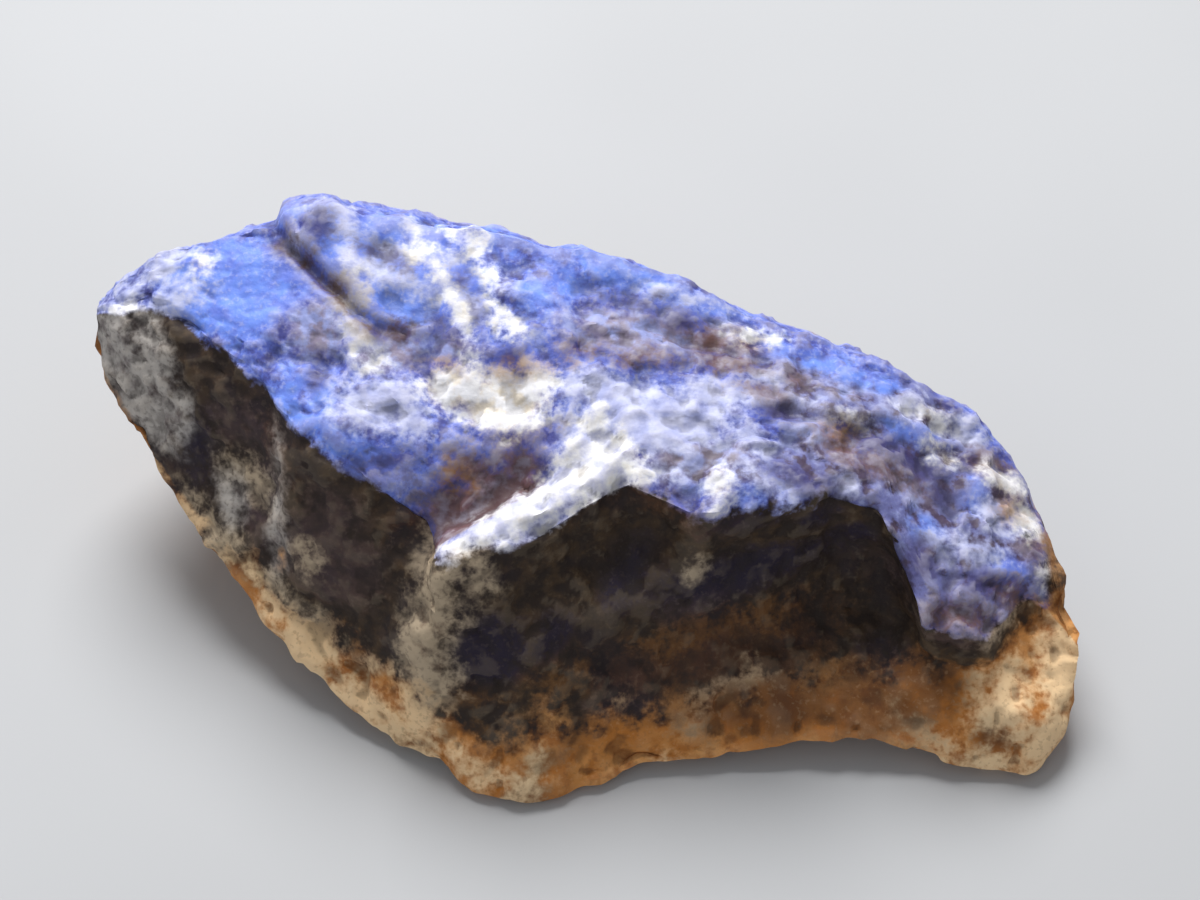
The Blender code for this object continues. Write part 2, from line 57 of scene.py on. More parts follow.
LINES = {
    # front edge of the underside, from the lifted nose to the two front feet
    "foot": [
        (-32.9, 10.9, 13.5), (-30.6, 5.3, 9.9), (-28.4, 2.5, 8.3), (-25.8, -0.8, 7.0),
        (-22.4, -4.5, 5.2), (-19.6, -7.4, 3.5), (-16.8, -10.6, 2.2), (-12.1, -14.4, 0.8),
        (-6.8, -17.5, 0.8), (-4.1, -18.0, 0.8), (1.1, -16.9, 0.7), (7.7, -15.6, 1.0),
        (14.2, -14.6, 2.0), (18.8, -14.7, 2.3), (22.8, -15.3, 1.4), (26.1, -16.3, 0.9),
        (30.1, -15.9, 0.9), (32.0, -14.0, 1.8), (32.7, -11.3, 4.1),
    ],
    # top of the tan rind along the front
    "belly": [
        (-32.9, 10.8, 13.9), (-29.6, 5.0, 10.8), (-26.2, 1.4, 8.9), (-22.4, -2.8, 7.4),
        (-19.0, -6.2, 5.8), (-17.0, -8.7, 4.9), (-12.0, -13.1, 4.1), (-5.0, -16.4, 3.4),
        (1.5, -15.3, 3.6), (8.0, -13.3, 4.0), (14.0, -12.0, 4.4), (19.6, -11.6, 4.2),
        (22.6, -13.8, 4.0), (26.0, -14.4, 4.0), (30.0, -13.6, 3.8), (32.0, -12.6, 3.7),
        (32.7, -11.4, 4.8),
    ],
    # middle of the dark front
    "brow": [
        (-32.8, 10.7, 14.4), (-29.1, 6.4, 13.2), (-26.3, 3.8, 13.0), (-22.6, 0.7, 11.6),
        (-18.6, -4.6, 10.3), (-16.0, -7.0, 9.2), (-11.9, -10.9, 8.0), (-10.2, -12.3, 8.0),
        (-5.1, -13.0, 7.6), (-2.8, -12.6, 8.0), (2.9, -10.4, 8.2), (7.6, -9.4, 8.0),
        (11.6, -8.6, 8.0), (16.3, -7.6, 7.2), (19.8, -7.8, 6.6), (21.4, -9.6, 6.0),
        (23.0, -11.2, 6.0), (26.2, -11.6, 5.6), (29.6, -10.4, 5.4), (31.7, -10.9, 4.9),
        (32.7, -11.2, 5.3),
    ],
    # steep band close under the top edge
    "eave": [
        (-32.8, 11.0, 15.0), (-31.6, 9.6, 15.6), (-29.1, 8.0, 15.8), (-26.2, 5.4, 15.6),
        (-22.6, 2.4, 15.0), (-20.1, -0.2, 14.4), (-18.4, -2.6, 13.8), (-15.0, -4.9, 13.2),
        (-11.0, -8.4, 12.0), (-9.3, -10.8, 11.6), (-5.0, -10.2, 11.8), (-0.5, -7.7, 12.8),
        (2.9, -6.5, 13.2), (6.8, -7.4, 12.8), (11.3, -6.4, 12.4), (16.0, -5.2, 12.0),
        (19.4, -5.4, 11.2), (20.8, -8.0, 9.4), (22.0, -11.1, 8.2), (26.1, -11.1, 7.0),
        (29.7, -8.2, 6.9), (31.5, -9.8, 5.9), (32.7, -10.9, 5.7),
    ],
    # edge between the blue top and the dark front
    "arris": [
        (-32.8, 11.2, 15.3), (-31.6, 10.2, 16.4), (-29.0, 9.4, 17.8), (-26.1, 7.2, 18.5),
        (-22.5, 4.4, 18.0), (-20.1, 1.5, 17.2), (-18.0, -1.0, 16.8), (-15.0, -3.0, 16.4),
        (-11.8, -5.8, 15.2), (-10.6, -7.4, 14.2), (-9.3, -9.3, 13.8), (-5.0, -8.5, 14.6),
        (-2.7, -8.1, 15.2), (0.2, -6.5, 16.3), (2.9, -5.1, 16.8), (6.8, -6.9, 16.2),
        (11.3, -6.0, 15.8), (15.9, -4.9, 15.2), (19.2, -5.1, 14.0), (20.7, -7.6, 12.0),
        (22.0, -11.2, 9.7), (26.1, -10.9, 8.4), (29.7, -7.2, 8.1), (31.5, -8.9, 6.7),
        (32.7, -10.6, 6.1),
    ],
    # front third of the top
    "shelf": [
        (-32.8, 11.5, 15.5), (-31.6, 11.0, 16.8), (-29.0, 10.6, 18.4), (-26.0, 9.4, 19.5),
        (-20.0, 5.4, 18.9), (-15.0, 1.6, 18.0), (-10.0, -2.4, 16.9), (-4.0, -2.6, 16.8),
        (3.0, 0.3, 18.1), (9.0, -1.6, 17.2), (16.0, -1.2, 16.0), (19.6, -2.0, 14.9),
        (22.0, -5.6, 12.5), (26.0, -5.6, 11.0), (29.7, -4.6, 9.2), (31.5, -7.9, 7.2),
        (32.7, -10.4, 6.3),
    ],
    # back third of the top
    "crown": [
        (-32.8, 11.9, 15.6), (-31.6, 11.8, 17.0), (-29.0, 11.8, 18.8), (-26.0, 11.5, 20.2),
        (-20.0, 9.6, 20.2), (-15.0, 7.5, 20.0), (-10.0, 5.5, 19.4), (-3.0, 5.0, 19.2),
        (4.0, 5.6, 19.2), (10.0, 4.0, 17.9), (16.0, 3.2, 16.4), (20.0, 2.4, 15.4),
        (23.0, 0.8, 14.2), (26.5, -0.4, 12.6), (29.9, -3.2, 9.7), (31.5, -7.4, 7.5),
        (32.7, -10.2, 6.5),
    ],
    # highest line of the stone
    "ridge": [
        (-32.8, 12.2, 15.6), (-31.6, 12.6, 17.1), (-29.2, 13.0, 19.0), (-25.7, 13.2, 20.4),
        (-20.4, 13.8, 21.2), (-18.5, 14.1, 21.5), (-11.0, 13.7, 21.0), (-7.0, 13.2, 21.0),
        (-3.0, 12.2, 20.9), (2.4, 11.5, 20.4), (6.4, 10.9, 19.4), (9.1, 10.0, 18.4),
        (11.8, 8.8, 17.4), (15.8, 7.5, 16.3), (19.8, 6.6, 15.3), (23.2, 6.0, 14.5),
        (26.2, 4.7, 13.4), (28.5, 2.0, 11.5), (30.6, -2.8, 9.5), (31.5, -7.0, 7.7),
        (32.7, -9.8, 6.6),
    ],
    # slope just behind the ridge
    "nape": [
        (-32.8, 12.7, 15.3), (-31.6, 13.5, 16.3), (-29.0, 14.8, 17.6), (-24.0, 15.9, 18.6),
        (-19.0, 16.5, 19.5), (-8.0, 16.2, 19.0), (0.0, 14.8, 17.8), (8.0, 12.6, 15.8),
        (16.0, 10.4, 13.4), (22.0, 8.8, 12.0), (26.0, 7.0, 10.6), (29.5, 1.2, 8.2),
        (31.6, -6.2, 6.7), (32.7, -9.5, 6.1),
    ],
    # middle of the back
    "back": [
        (-32.8, 12.9, 14.8), (-31.6, 14.0, 14.8), (-29.0, 16.0, 14.4), (-23.5, 17.6, 13.2),
        (-17.0, 18.2, 12.6), (-8.0, 17.9, 11.4), (0.0, 16.9, 10.6), (8.0, 15.2, 9.2),
        (16.0, 13.0, 7.8), (22.0, 11.0, 6.8), (26.0, 8.6, 6.0), (29.5, 2.2, 5.0),
        (31.8, -5.8, 4.7), (32.7, -9.3, 5.4),
    ],
    # back edge of the underside
    "heel": [
        (-32.8, 12.5, 14.1), (-29.0, 15.0, 10.2), (-24.0, 16.6, 5.4), (-18.0, 17.4, 1.5),
        (-12.0, 17.3, 0.3), (-4.0, 17.2, 0.3), (4.0, 15.8, 0.9), (12.0, 13.6, 1.5),
        (20.0, 10.8, 0.6), (25.5, 8.0, 0.3), (29.5, 1.2, 1.4), (31.8, -6.4, 2.6),
        (32.7, -9.6, 4.7),
    ],
    # back bearing of the underside, sunk under the level cut where the stone stands
    "rump": [
        (-32.8, 12.2, 13.3), (-29.0, 12.6, 9.4), (-24.0, 12.8, 4.6), (-18.0, 12.4, 1.0),
        (-13.0, 12.0, -0.4), (-5.0, 12.2, -0.5), (3.0, 11.0, 0.3), (12.0, 9.0, 1.0),
        (20.0, 6.5, 0.0), (25.0, 4.0, -0.4), (29.0, -1.5, 0.6), (31.8, -8.0, 2.2),
        (32.7, -10.1, 4.3),
    ],
    # middle of the underside, a little hollow
    "keel": [
        (-32.9, 11.4, 12.9), (-29.0, 9.0, 9.2), (-24.0, 6.0, 5.6), (-18.0, 3.2, 2.2),
        (-12.0, 0.5, 1.2), (-4.0, -0.5, 0.8), (4.0, -1.0, 0.9), (12.0, -1.5, 1.4),
        (20.0, -3.0, 0.9), (26.0, -4.5, 0.4), (29.5, -7.0, 0.5), (31.9, -9.8, 2.1),
        (32.7, -10.6, 4.1),
    ],
    # front bearing of the underside, sunk under the level cut where the stone stands
    "sole": [
        (-32.9, 10.9, 12.7), (-29.0, 5.6, 9.0), (-24.0, 1.2, 5.7), (-18.0, -4.6, 2.5),
        (-12.0, -10.4, 0.6), (-7.0, -13.6, -0.6), (-3.0, -14.2, -0.7), (2.0, -13.4, -0.5),
        (8.0, -11.0, 0.8), (14.0, -10.5, 1.8), (19.0, -10.8, 1.9), (23.0, -11.8, 0.6),
        (26.0, -13.6, -0.6), (30.0, -13.2, -0.5), (32.0, -12.0, 1.8), (32.7, -11.0, 4.0),
    ],
}

# steps of the skin between one line and the next, in the order of the lines
SPANS = (18, 20, 20, 20, 30, 30, 30, 12, 22, 26, 16, 26, 26, 18)
STATIONS = 312

# Each pair named FROM_TO below is where a mark starts to come in and where it is whole.
TOP_MARKS_FROM_TO = (11.0, 14.0)

# the vein is one flat sheet of white calcite: a place on the top, one on the edge, one below
VEIN = ((3.7, -2.7, 17.6), (-9.1, -9.3, 13.8), (-12.1, -14.5, 1.5))
VEIN_HALF = 1.15
VEIN_PROUD = 0.35
VEIN_SIDE_FROM_TO = (0.3, 1.35)
VEIN_FROM_TO = (0.0, 0.35)
VEIN_UNEVEN = (1.7, 0.6)

# the notch broken out behind the vein: its floor is whole near the vein and runs out behind
NOTCH_DEEP = 1.7
NOTCH_WIDE = 4.2
NOTCH_WALL_FROM_TO = (-0.2, 0.9)
NOTCH_FROM_TO = (0.35, 0.7)
NOTCH_OUT_FROM_TO = (1.15, 1.45)

# edge of the raised slab on the top, seen from above, and the crack that runs under it
SLAB = ((-20.3, 18.5), (-20.2, 14.1), (-18.9, 12.3), (-16.4, 9.1), (-13.4, 6.7),
        (-10.0, 5.5), (-6.7, 4.4), (-2.8, 2.9))
SLAB_PROUD = 1.2
SLAB_WALL_FROM_TO = (-0.12, 0.22)
SLAB_LOWER = 0.85
SLAB_LOWER_FROM_TO = (0.2, 0.56)
SLAB_OUT_FROM_TO = (-8.0, 5.0)
CRACK_DEEP = 0.55
CRACK_WIDE = 0.32
CRACK_AWAY = 0.3
CRACK_FROM_TO = (0.2, 0.35)
CRACK_OUT_FROM_TO = (0.54, 0.68)

# grooves and pits of the top seen from above: a path, its depth and half width
GROOVES = (
    (((-22.0, 5.0), (-19.5, 4.3), (-16.5, 4.1), (-14.5, 4.4)), 0.5, 0.8),
    (((3.0, 7.2), (6.0, 5.8), (10.0, 6.2)), 0.5, 0.7),
    (((12.6, 1.2), (14.5, 0.3), (17.5, -0.4), (20.5, 0.6)), 0.7, 0.8),
    (((21.0, 3.2), (23.5, 1.6), (26.0, 1.9)), 0.6, 0.7),
)
GROOVE_END = 0.15
PITS = ((12.9, 0.6, 1.1, 0.45), (26.3, -0.1, 0.9, 0.6), (10.2, 5.6, 0.9, 0.4), (17.0, -1.5, 1.0, 0.4))
PIT_FLOOR = 0.3

# lobes that stand out: centre, reach, height
LOBES = (
    ((-15.6, -0.6, 17.4), 4.8, 0.7),
    ((24.0, -8.6, 10.6), 5.1, 0.6),
    ((29.5, -14.4, 2.8), 4.5, 0.7),
    ((-4.5, -17.0, 2.0), 5.4, 0.5),
)

# ledges across the back: a place on the edge, the way up from it, how far the back steps in
LEDGES = (
    ((-4.0, 17.0, 13.6), (0.22, 0.0, 0.97), 0.9),
    ((15.0, 14.0, 7.0), (-0.80, 0.0, 0.60), 0.8),
)
LEDGE_FROM_TO = (-0.3, 0.3)
LEDGE_OUT_FROM_TO = (2.0, 7.0)
BACK_FROM_TO = (0.1, 0.5)

# flat chips all over: size and slope; the ramp between two, how far the middle of each keeps
# from the sides of its cell and how far they stand above each other; fewer chips on the
# smooth face at the left of the top, and on the worn rind low down on the right
CHIPS = ((9.0, 0.11), (3.4, 0.10))
CHIP_RAMP = 0.16
CHIP_MARGIN = 0.1
CHIP_STEP = 0.3
CALM_FROM_TO = (15.0, 19.0)
CALM_UP_FROM_TO = (0.3, 0.8)
CALM_SHARE = 0.55
WORN_FROM_TO = (10.0, 15.0)
WORN_UNDER_FROM_TO = (2.5, 6.5)
WORN_SHARE = 0.75

# marks drawn straight are bent by this much, over wide bends and over closer ones with their
# size and share; the slab and the vein are bent by a share of it
WANDER = 0.9
WANDER_SIZE = 5.0
WANDER_CLOSE = (1.5, 0.35)
SLAB_BEND = 0.5
VEIN_BEND = 0.4

# nicks out of an edge: the number of its line, half width in lines, size and depth
NICKS = ((4.0, 0.24, 2.4, 0.75), (4.0, 0.16, 1.1, 0.35), (7.0, 0.5, 2.8, 0.45))
NICK_FROM_TO = (0.0, 0.6)
NICK_ENDS_FROM_TO = (26.0, 30.0)

# the weathered rind of the underside is lumpy
RIND_LUMP = 2.6
RIND_PROUD = 0.45
RIND_OUT_FROM_TO = (3.0, 7.0)

# puts the middle of the base on the origin
CENTRING = (0.25, -0.17, 0.0)

# stations crowd towards both ends by this share; rounds that smooth the normals
END_CROWDING = 0.45
NORMAL_ROUNDS = 6
TINY = 1e-12

SEED = 41

# ---- the finer skin, millimetres ----

# what roughens each kind of surface, as sizes and heights or slopes
HACKLE = ((1.9, 0.15), (0.85, 0.16))
GRAIN = (0.5, 0.045)
RIND_GRAIN = ((2.3, 0.24), (1.1, 0.16), (0.55, 0.07))
RIND_PIT = (1.3, 0.34)
RIND_PIT_FROM_TO = (0.45, 0.8)
VEIN_GRAIN = (0.6, 0.06)
# levels of the masks between which each kind of surface comes in, and how much less the
# chips are on the bright blue faces
SMOOTH_FROM_TO = (0.4, 0.8)
SMOOTH_SHARE = 0.65
RIND_SKIN_FROM_TO = (0.3, 0.7)
VEIN_SKIN_FROM_TO = (0.35, 0.65)

# the underside is rounded off where it meets the ground
FLOOR_SOFTNESS = 0.12
# edges sharper than this stay crisp
SHARP_FROM = np.radians(40.0)
# rounds of averaging: of every step in the skin, and of the whole of the right end
STEP_ROUNDS = 2
BLUNT_FROM_TO = (28.5, 30.5)
BLUNT_ROUNDS = 40
# steps over which a hollow is looked for, and the depth of the deepest
HOLLOW_STEPS = (2, 5)
HOLLOW_DEPTH = 0.22

# ---- the stone's colours, as marks ----

# each family of marks on the top, seen from above: middle x, y and half widths
TOP_SPOTS = {
    "dull": [
        (15.5, 2.8, 4.6, 3.4), (21.5, 1.0, 4.6, 4.6), (26.4, -3.4, 4.4, 5.2),
        (24.6, -9.2, 5.0, 2.8), (9.6, 5.6, 3.4, 2.0), (30.4, -6.0, 2.4, 4.0),
        (30.2, -2.4, 1.6, 3.0), (8.0, -4.5, 5.0, 2.2), (15.5, -3.6, 4.5, 2.4),
        (21.0, -5.5, 4.5, 3.0), (2.6, -4.4, 3.4, 1.4),
    ],
    "pale": [
        # the spots at -30.2, 11.0 and -28.0, 11.9 are painted sheen on the nose, and those at -16.7,
        # 14.5 and 6.4, 9.7 painted highlights; the rest are whitish patches of the stone
        (-30.2, 11.0, 1.6, 1.0), (-28.0, 11.9, 2.2, 1.2), (-27.4, 9.3, 2.2, 0.7),
        (-16.7, 14.5, 1.0, 0.6), (-18.4, 12.0, 1.0, 0.7), (-13.6, 5.6, 0.9, 1.0),
        (-13.2, 0.5, 2.4, 1.7), (-10.8, -1.1, 1.0, 1.2), (1.8, 1.1, 3.2, 1.6),
        (4.6, -0.6, 5.2, 2.5), (-0.2, -1.8, 2.0, 1.6), (9.0, 1.2, 2.8, 1.4),
        (10.8, -2.2, 1.1, 1.1), (13.8, 1.4, 1.0, 0.6), (12.0, 3.2, 1.2, 0.8),
        (6.4, 9.7, 2.0, 0.5), (11.3, -5.4, 1.5, 0.5), (22.0, 2.7, 0.9, 1.3),
        (25.7, 1.7, 1.3, 1.1), (16.9, -3.9, 0.7, 0.7), (27.6, -3.0, 1.0, 0.9),
        (23.3, -6.4, 0.8, 0.6), (26.3, -5.8, 1.5, 0.8), (4.0, -4.4, 1.6, 0.8),
        (-4.6, -5.6, 2.2, 1.3), (-1.4, -5.0, 2.4, 1.2), (1.0, -4.2, 1.8, 1.2),
        (-6.8, -6.9, 1.6, 1.0),
    ],
    "cream": [
        (-30.4, 9.6, 0.7, 0.5), (-8.3, 1.8, 1.9, 1.5), (-5.2, 0.9, 2.9, 2.0),
        (-3.0, 2.1, 1.3, 1.1), (-7.4, 2.7, 0.9, 0.5), (2.4, -3.5, 0.8, 0.9),
        (0.4, -5.7, 0.9, 0.9), (8.7, -6.2, 0.6, 1.0), (12.0, 7.2, 1.2, 0.6),
        (18.0, 0.5, 0.8, 0.4), (23.5, 2.3, 0.9, 0.5), (28.2, -0.9, 1.4, 0.7),
        (29.8, -3.1, 0.6, 1.2), (31.4, -6.4, 0.7, 0.8), (23.8, -0.2, 0.5, 0.4),
        (-24.4, 11.0, 0.5, 0.5),
    ],
    "indigo": [
        (-16.9, 12.4, 1.1, 1.4), (-12.4, 11.0, 1.6, 0.8), (-7.9, 9.9, 0.9, 0.9),
        (-9.9, 6.3, 0.9, 0.9), (-12.6, 5.9, 1.2, 0.5), (-4.4, 3.9, 0.8, 0.7),
        (3.4, 8.5, 1.8, 0.5), (6.5, 7.5, 1.5, 0.9), (8.6, 4.6, 1.2, 0.7), (13.0, 0.4, 1.2, 0.9),
        (21.8, -1.6, 1.8, 1.2), (19.9, -1.2, 2.0, 1.1), (25.2, 0.1, 1.5, 0.7),
        (26.5, -8.1, 1.8, 0.9), (14.2, -4.2, 1.4, 0.8), (-17.2, 2.6, 0.9, 0.8),
        (-13.0, -3.4, 1.6, 0.7), (22.4, -7.4, 1.2, 0.9), (30.6, -5.6, 0.8, 0.9),
        (-7.0, 7.6, 0.7, 0.9), (23.6, -3.0, 1.2, 0.8),
    ],
    "mauve": [
        (-17.2, 6.2, 2.7, 1.8), (-12.6, 4.2, 1.9, 1.6), (-8.6, 4.6, 1.6, 0.9),
        (3.6, 6.2, 4.3, 1.8), (7.0, -3.4, 3.4, 1.5), (14.6, 3.6, 1.1, 0.8), (17.5, 2.9, 0.9, 0.8),
        (21.5, -3.2, 2.8, 1.0), (9.6, 7.2, 1.6, 1.1), (15.6, -1.0, 1.8, 1.2),
        (29.3, -5.2, 1.0, 0.9),
    ],
    "brown": [
        (-14.8, 8.1, 0.6, 0.4), (0.1, 4.5, 1.1, 0.6), (3.8, 4.1, 1.7, 0.6), (8.8, 6.2, 1.5, 1.0),
        (10.2, 4.2, 1.7, 0.7), (11.2, 6.1, 1.0, 0.6), (11.8, 2.0, 1.1, 0.4),
        (14.5, 3.4, 0.8, 0.6), (17.1, -1.7, 1.1, 1.4), (26.6, -0.2, 1.0, 0.8),
        (-5.9, 2.2, 0.5, 0.3), (19.5, -3.0, 1.7, 0.6), (-4.2, -1.4, 1.9, 0.5),
        (-4.5, -2.9, 1.4, 1.2), (-7.3, -3.6, 1.8, 1.1), (-9.0, -5.2, 1.0, 1.0),
        (29.2, -1.6, 0.7, 0.9), (24.6, -10.4, 2.4, 0.8), (28.4, -8.4, 0.9, 0.7),
        (28.2, 0.4, 0.8, 0.5), (30.6, -4.8, 0.6, 0.9),
    ],
    "ochre": [
        (28.6, -2.8, 0.5, 0.4), (28.0, -2.0, 0.3, 0.3), (17.4, -0.3, 0.6, 0.3),
        (-9.0, 3.3, 0.7, 0.3), (-3.4, 3.1, 1.2, 0.3), (-8.4, -4.1, 0.6, 0.4),
    ],
    "bright": [
        (-12.0, 10.4, 7.0, 4.4), (-22.8, 9.4, 5.2, 3.6), (-18.8, 14.6, 1.3, 1.2),
        (-2.2, 8.8, 1.6, 1.1), (-19.3, 1.6, 1.2, 1.8), (22.4, 0.5, 1.8, 0.9),
        (26.1, -2.2, 0.8, 1.0), (22.6, -5.6, 1.0, 0.7), (28.2, -6.6, 0.9, 1.1),
        (10.6, -6.1, 1.6, 0.4), (-12.0, 7.9, 1.9, 0.5), (1.0, -3.2, 1.0, 0.7),
        (-7.4, 0.8, 1.0, 0.5), (-15.8, 0.8, 1.1, 0.9),
    ],
}

# strokes on the top, seen from above: a path and its half width
TOP_STROKES = {
    "vein": [
        (((-8.2, 13.4), (-6.8, 12.2), (-5.1, 10.2), (-5.2, 8.2), (-4.2, 6.2)), 0.45),
        (((-14.3, 9.0), (-14.5, 7.6), (-13.7, 5.6), (-13.2, 3.4)), 0.25),
        (((-10.4, 12.6), (-9.9, 11.0), (-9.2, 9.2), (-8.7, 8.3), (-7.6, 6.2), (-7.2, 3.6)), 0.34),
    ],
    "bright": [
        # this stroke along the ridge is partly bright blue and partly painted highlight of the lit
        # ridge
        (((-6.0, 13.4), (-2.0, 12.2), (2.0, 11.2), (6.0, 10.2), (9.0, 9.2)), 1.4),
        (((-19.6, 0.6), (-16.2, -1.7), (-13.6, -3.0)), 0.7),
        (((12.6, 7.0), (16.5, 5.6), (20.2, 4.6)), 0.8),
    ],
    "pale": [
        (((-15.3, 14.2), (-14.9, 11.6), (-14.4, 9.4), (-14.6, 7.6), (-13.9, 6.0)), 0.80),
        (((-14.4, 9.2), (-12.2, 9.6), (-10.6, 9.1), (-8.8, 8.7), (-6.4, 7.6)), 0.75),
        (((-15.8, 11.8), (-13.2, 12.2), (-10.8, 11.6), (-8.0, 11.9)), 0.40),
        (((-11.0, 14.2), (-10.0, 12.2), (-9.6, 10.2), (-8.7, 8.3), (-7.6, 6.2)), 0.65),
        (((27.0, 0.2), (28.8, -1.0), (29.9, -2.6)), 0.5),
    ],
}

# families of marks on the front, seen from the front: middle x, z and half widths
FRONT_SPOTS = {
    "navy": [
        (-6.4, 8.8, 2.4, 2.2), (3.2, 11.3, 1.3, 1.1), (11.0, 10.6, 5.6, 1.5),
        (14.9, 14.2, 1.1, 0.8), (10.0, 15.4, 1.4, 0.4), (-25.6, 12.0, 0.9, 1.8),
        (21.8, 4.4, 1.9, 0.5), (-2.0, 9.3, 1.0, 0.7), (17.6, 11.6, 1.4, 1.0),
    ],
    "ochre": [
        (-1.5, 7.0, 1.5, 0.9), (-7.5, 5.7, 1.5, 0.6), (6.6, 7.5, 1.7, 0.5), (11.6, 7.5, 1.6, 0.4),
        (13.8, 3.6, 1.5, 0.7), (8.8, 2.6, 1.2, 0.5), (2.2, 3.2, 2.0, 0.8), (30.2, 7.4, 1.4, 1.2),
        (16.6, 3.0, 2.6, 0.8), (26.5, 3.1, 1.2, 0.5), (-8.0, 3.0, 1.4, 0.6),
    ],
    "tan": [
        # the broad spots low on the left of the rind are partly its paler tan and partly painted
        # light
        (7.6, 12.2, 0.55, 0.55), (-22.3, 11.6, 1.2, 0.5), (-18.0, 10.0, 0.7, 0.8),
        (-24.5, 7.6, 1.8, 1.1), (-12.5, 1.8, 2.2, 0.9), (-9.6, 10.5, 0.9, 2.4),
        (-10.2, 7.0, 1.2, 3.0), (-10.9, 3.5, 1.2, 2.4), (29.4, 3.8, 0.9, 0.4),
        (30.4, 1.7, 0.9, 0.4), (32.3, 6.0, 0.9, 1.1), (-14.0, 3.0, 0.9, 0.5),
        (28.8, 8.3, 1.1, 0.4), (23.0, 2.4, 1.4, 0.5), (27.6, 4.6, 1.8, 1.0),
        (30.6, 3.0, 1.8, 1.4), (27.4, 1.4, 2.2, 0.7), (31.8, 5.0, 1.2, 1.6),
        (-17.5, 5.0, 1.8, 1.4), (-14.6, 2.6, 2.0, 1.2), (-20.6, 6.4, 1.4, 0.9),
        (-11.0, 1.8, 1.4, 0.7), (-18.6, 3.6, 2.2, 1.3), (-6.0, 1.6, 2.4, 0.6),
    ],
    "ash": [
        (-31.4, 15.2, 1.4, 2.2), (-30.2, 13.2, 1.7, 2.4), (-28.4, 12.0, 1.6, 1.8),
        (-20.2, 11.2, 0.4, 1.9), (-28.8, 15.0, 1.0, 2.0), (-27.4, 12.6, 1.1, 1.8),
        (-23.6, 10.0, 0.6, 0.8),
    ],
    "mauve": [
        (7.9, 9.0, 1.3, 0.7), (3.0, 6.5, 1.2, 0.5), (2.2, 4.5, 1.4, 0.5), (12.5, 4.6, 1.5, 0.4),
        (-22.7, 14.0, 1.9, 1.3), (-16.4, 10.4, 3.4, 2.6), (-21.0, 10.6, 1.6, 2.4),
        (25.0, 9.0, 2.6, 0.9), (20.4, 9.3, 0.7, 0.5), (-16.0, 13.4, 1.6, 1.0),
    ],
    "shade": [
        (12.6, 3.4, 5.4, 1.7), (19.5, 3.0, 3.8, 1.8), (22.6, 5.4, 2.2, 1.8),
    ],
    "brown": [
        (-1.8, 2.5, 1.1, 0.5), (-13.0, 1.4, 0.7, 0.4), (26.5, 1.2, 0.6, 0.3),
        (9.0, 6.4, 6.5, 1.3), (3.4, 15.6, 3.4, 0.6), (-20.4, 14.0, 0.9, 1.6),
    ],
}

# where the rind ends on the front: x, and the number of the line it reaches
RIND_EDGE = (
    (-33.0, 0.0), (-26.0, 0.2), (-20.0, 1.0), (-12.0, 1.25), (0.0, 1.2), (15.0, 1.0),
    (20.0, 1.2), (24.0, 2.1), (29.0, 3.0), (33.0, 3.6),
)

# every family of marks has a mask of its own
FAMILIES = sorted({*TOP_SPOTS, *TOP_STROKES, *FRONT_SPOTS})

# patches of the back and of the rind: family, size, seed and the noise level at their edge
BACK_PATCHES = (
    ("bright", 7.0, 61, 0.15), ("indigo", 4.0, 62, 0.35), ("mauve", 6.0, 63, 0.20),
    ("pale", 3.2, 64, 0.55), ("cream", 5.0, 65, 0.60), ("brown", 3.6, 66, 0.45),
    ("ochre", 2.6, 67, 0.60),
)
RIND_PATCHES = (
    ("ochre", 6.0, 71, 0.25), ("brown", 3.4, 72, 0.45), ("tan", 2.6, 73, 0.55),
)

# a mask fades over twice this distance round its edge, and is well outside from FAR on
FADE = 1.2
FAR = 9.0
# lines between which the stone is blue, and the back; the line from which it is all rind;
# millimetres that the way from one line to the next counts for
TOP_LINES = (3.95, 9.35)
BACK_LINES = (8.1, 10.4)
UNDER_LINE = 9.6
LINE_GAP = 3.0
# the right end is all rind from here on
TOP_END = 31.0
# the edges of the areas are bent by noise of these sizes and reaches, the back's by its own
WOBBLE = ((2.2, 1.0), (0.9, 0.6))
TOP_WOBBLE = 0.45
BACK_SWAY = (9.0, 0.7)
# the vein: size and share of its unevenness, where it runs out and how far it spreads there
VEIN_RAGGED = (1.9, 0.45)
VEIN_OUT = 0.06
VEIN_SPREAD = 2.4
STROKE_RAGGED = (1.6, 0.75)
# the tan stripe that carries the vein on down the front: its right end and its foot
STRIPE_END = -5.5
STRIPE_FOOT = 6.0
# the floor of the notch is brown, partly its own colour and partly painted shade of the recess, where
# it is this whole, and the crack on this stretch of the slab's edge, which is this long
NOTCH_BROWN = 0.25
CRACK_BROWN = (0.2, 0.62)
SLAB_LENGTH = 25.0

# ---- the stone's coats ----

# noises that vary the colours: how many to a millimetre, and their detail
NOISE_ROUGHNESS = 0.55
NOISES = {"broad": (0.19, 3.0), "mottle": (0.85, 4.0), "grain": (2.6, 2.0)}
# the tone of the blue follows the broad noise by this share, and the mottle by the rest
TONE_BROAD = 0.40
# the mottle and the grain push the edges of patches about by this much
RAGGED = (1.6, 0.7)
TOP_RAGGED = 0.45
# levels between which the top and a patch come in
TOP_LEVELS = (0.36, 0.64)
PATCH_LEVELS = (0.10, 0.84)

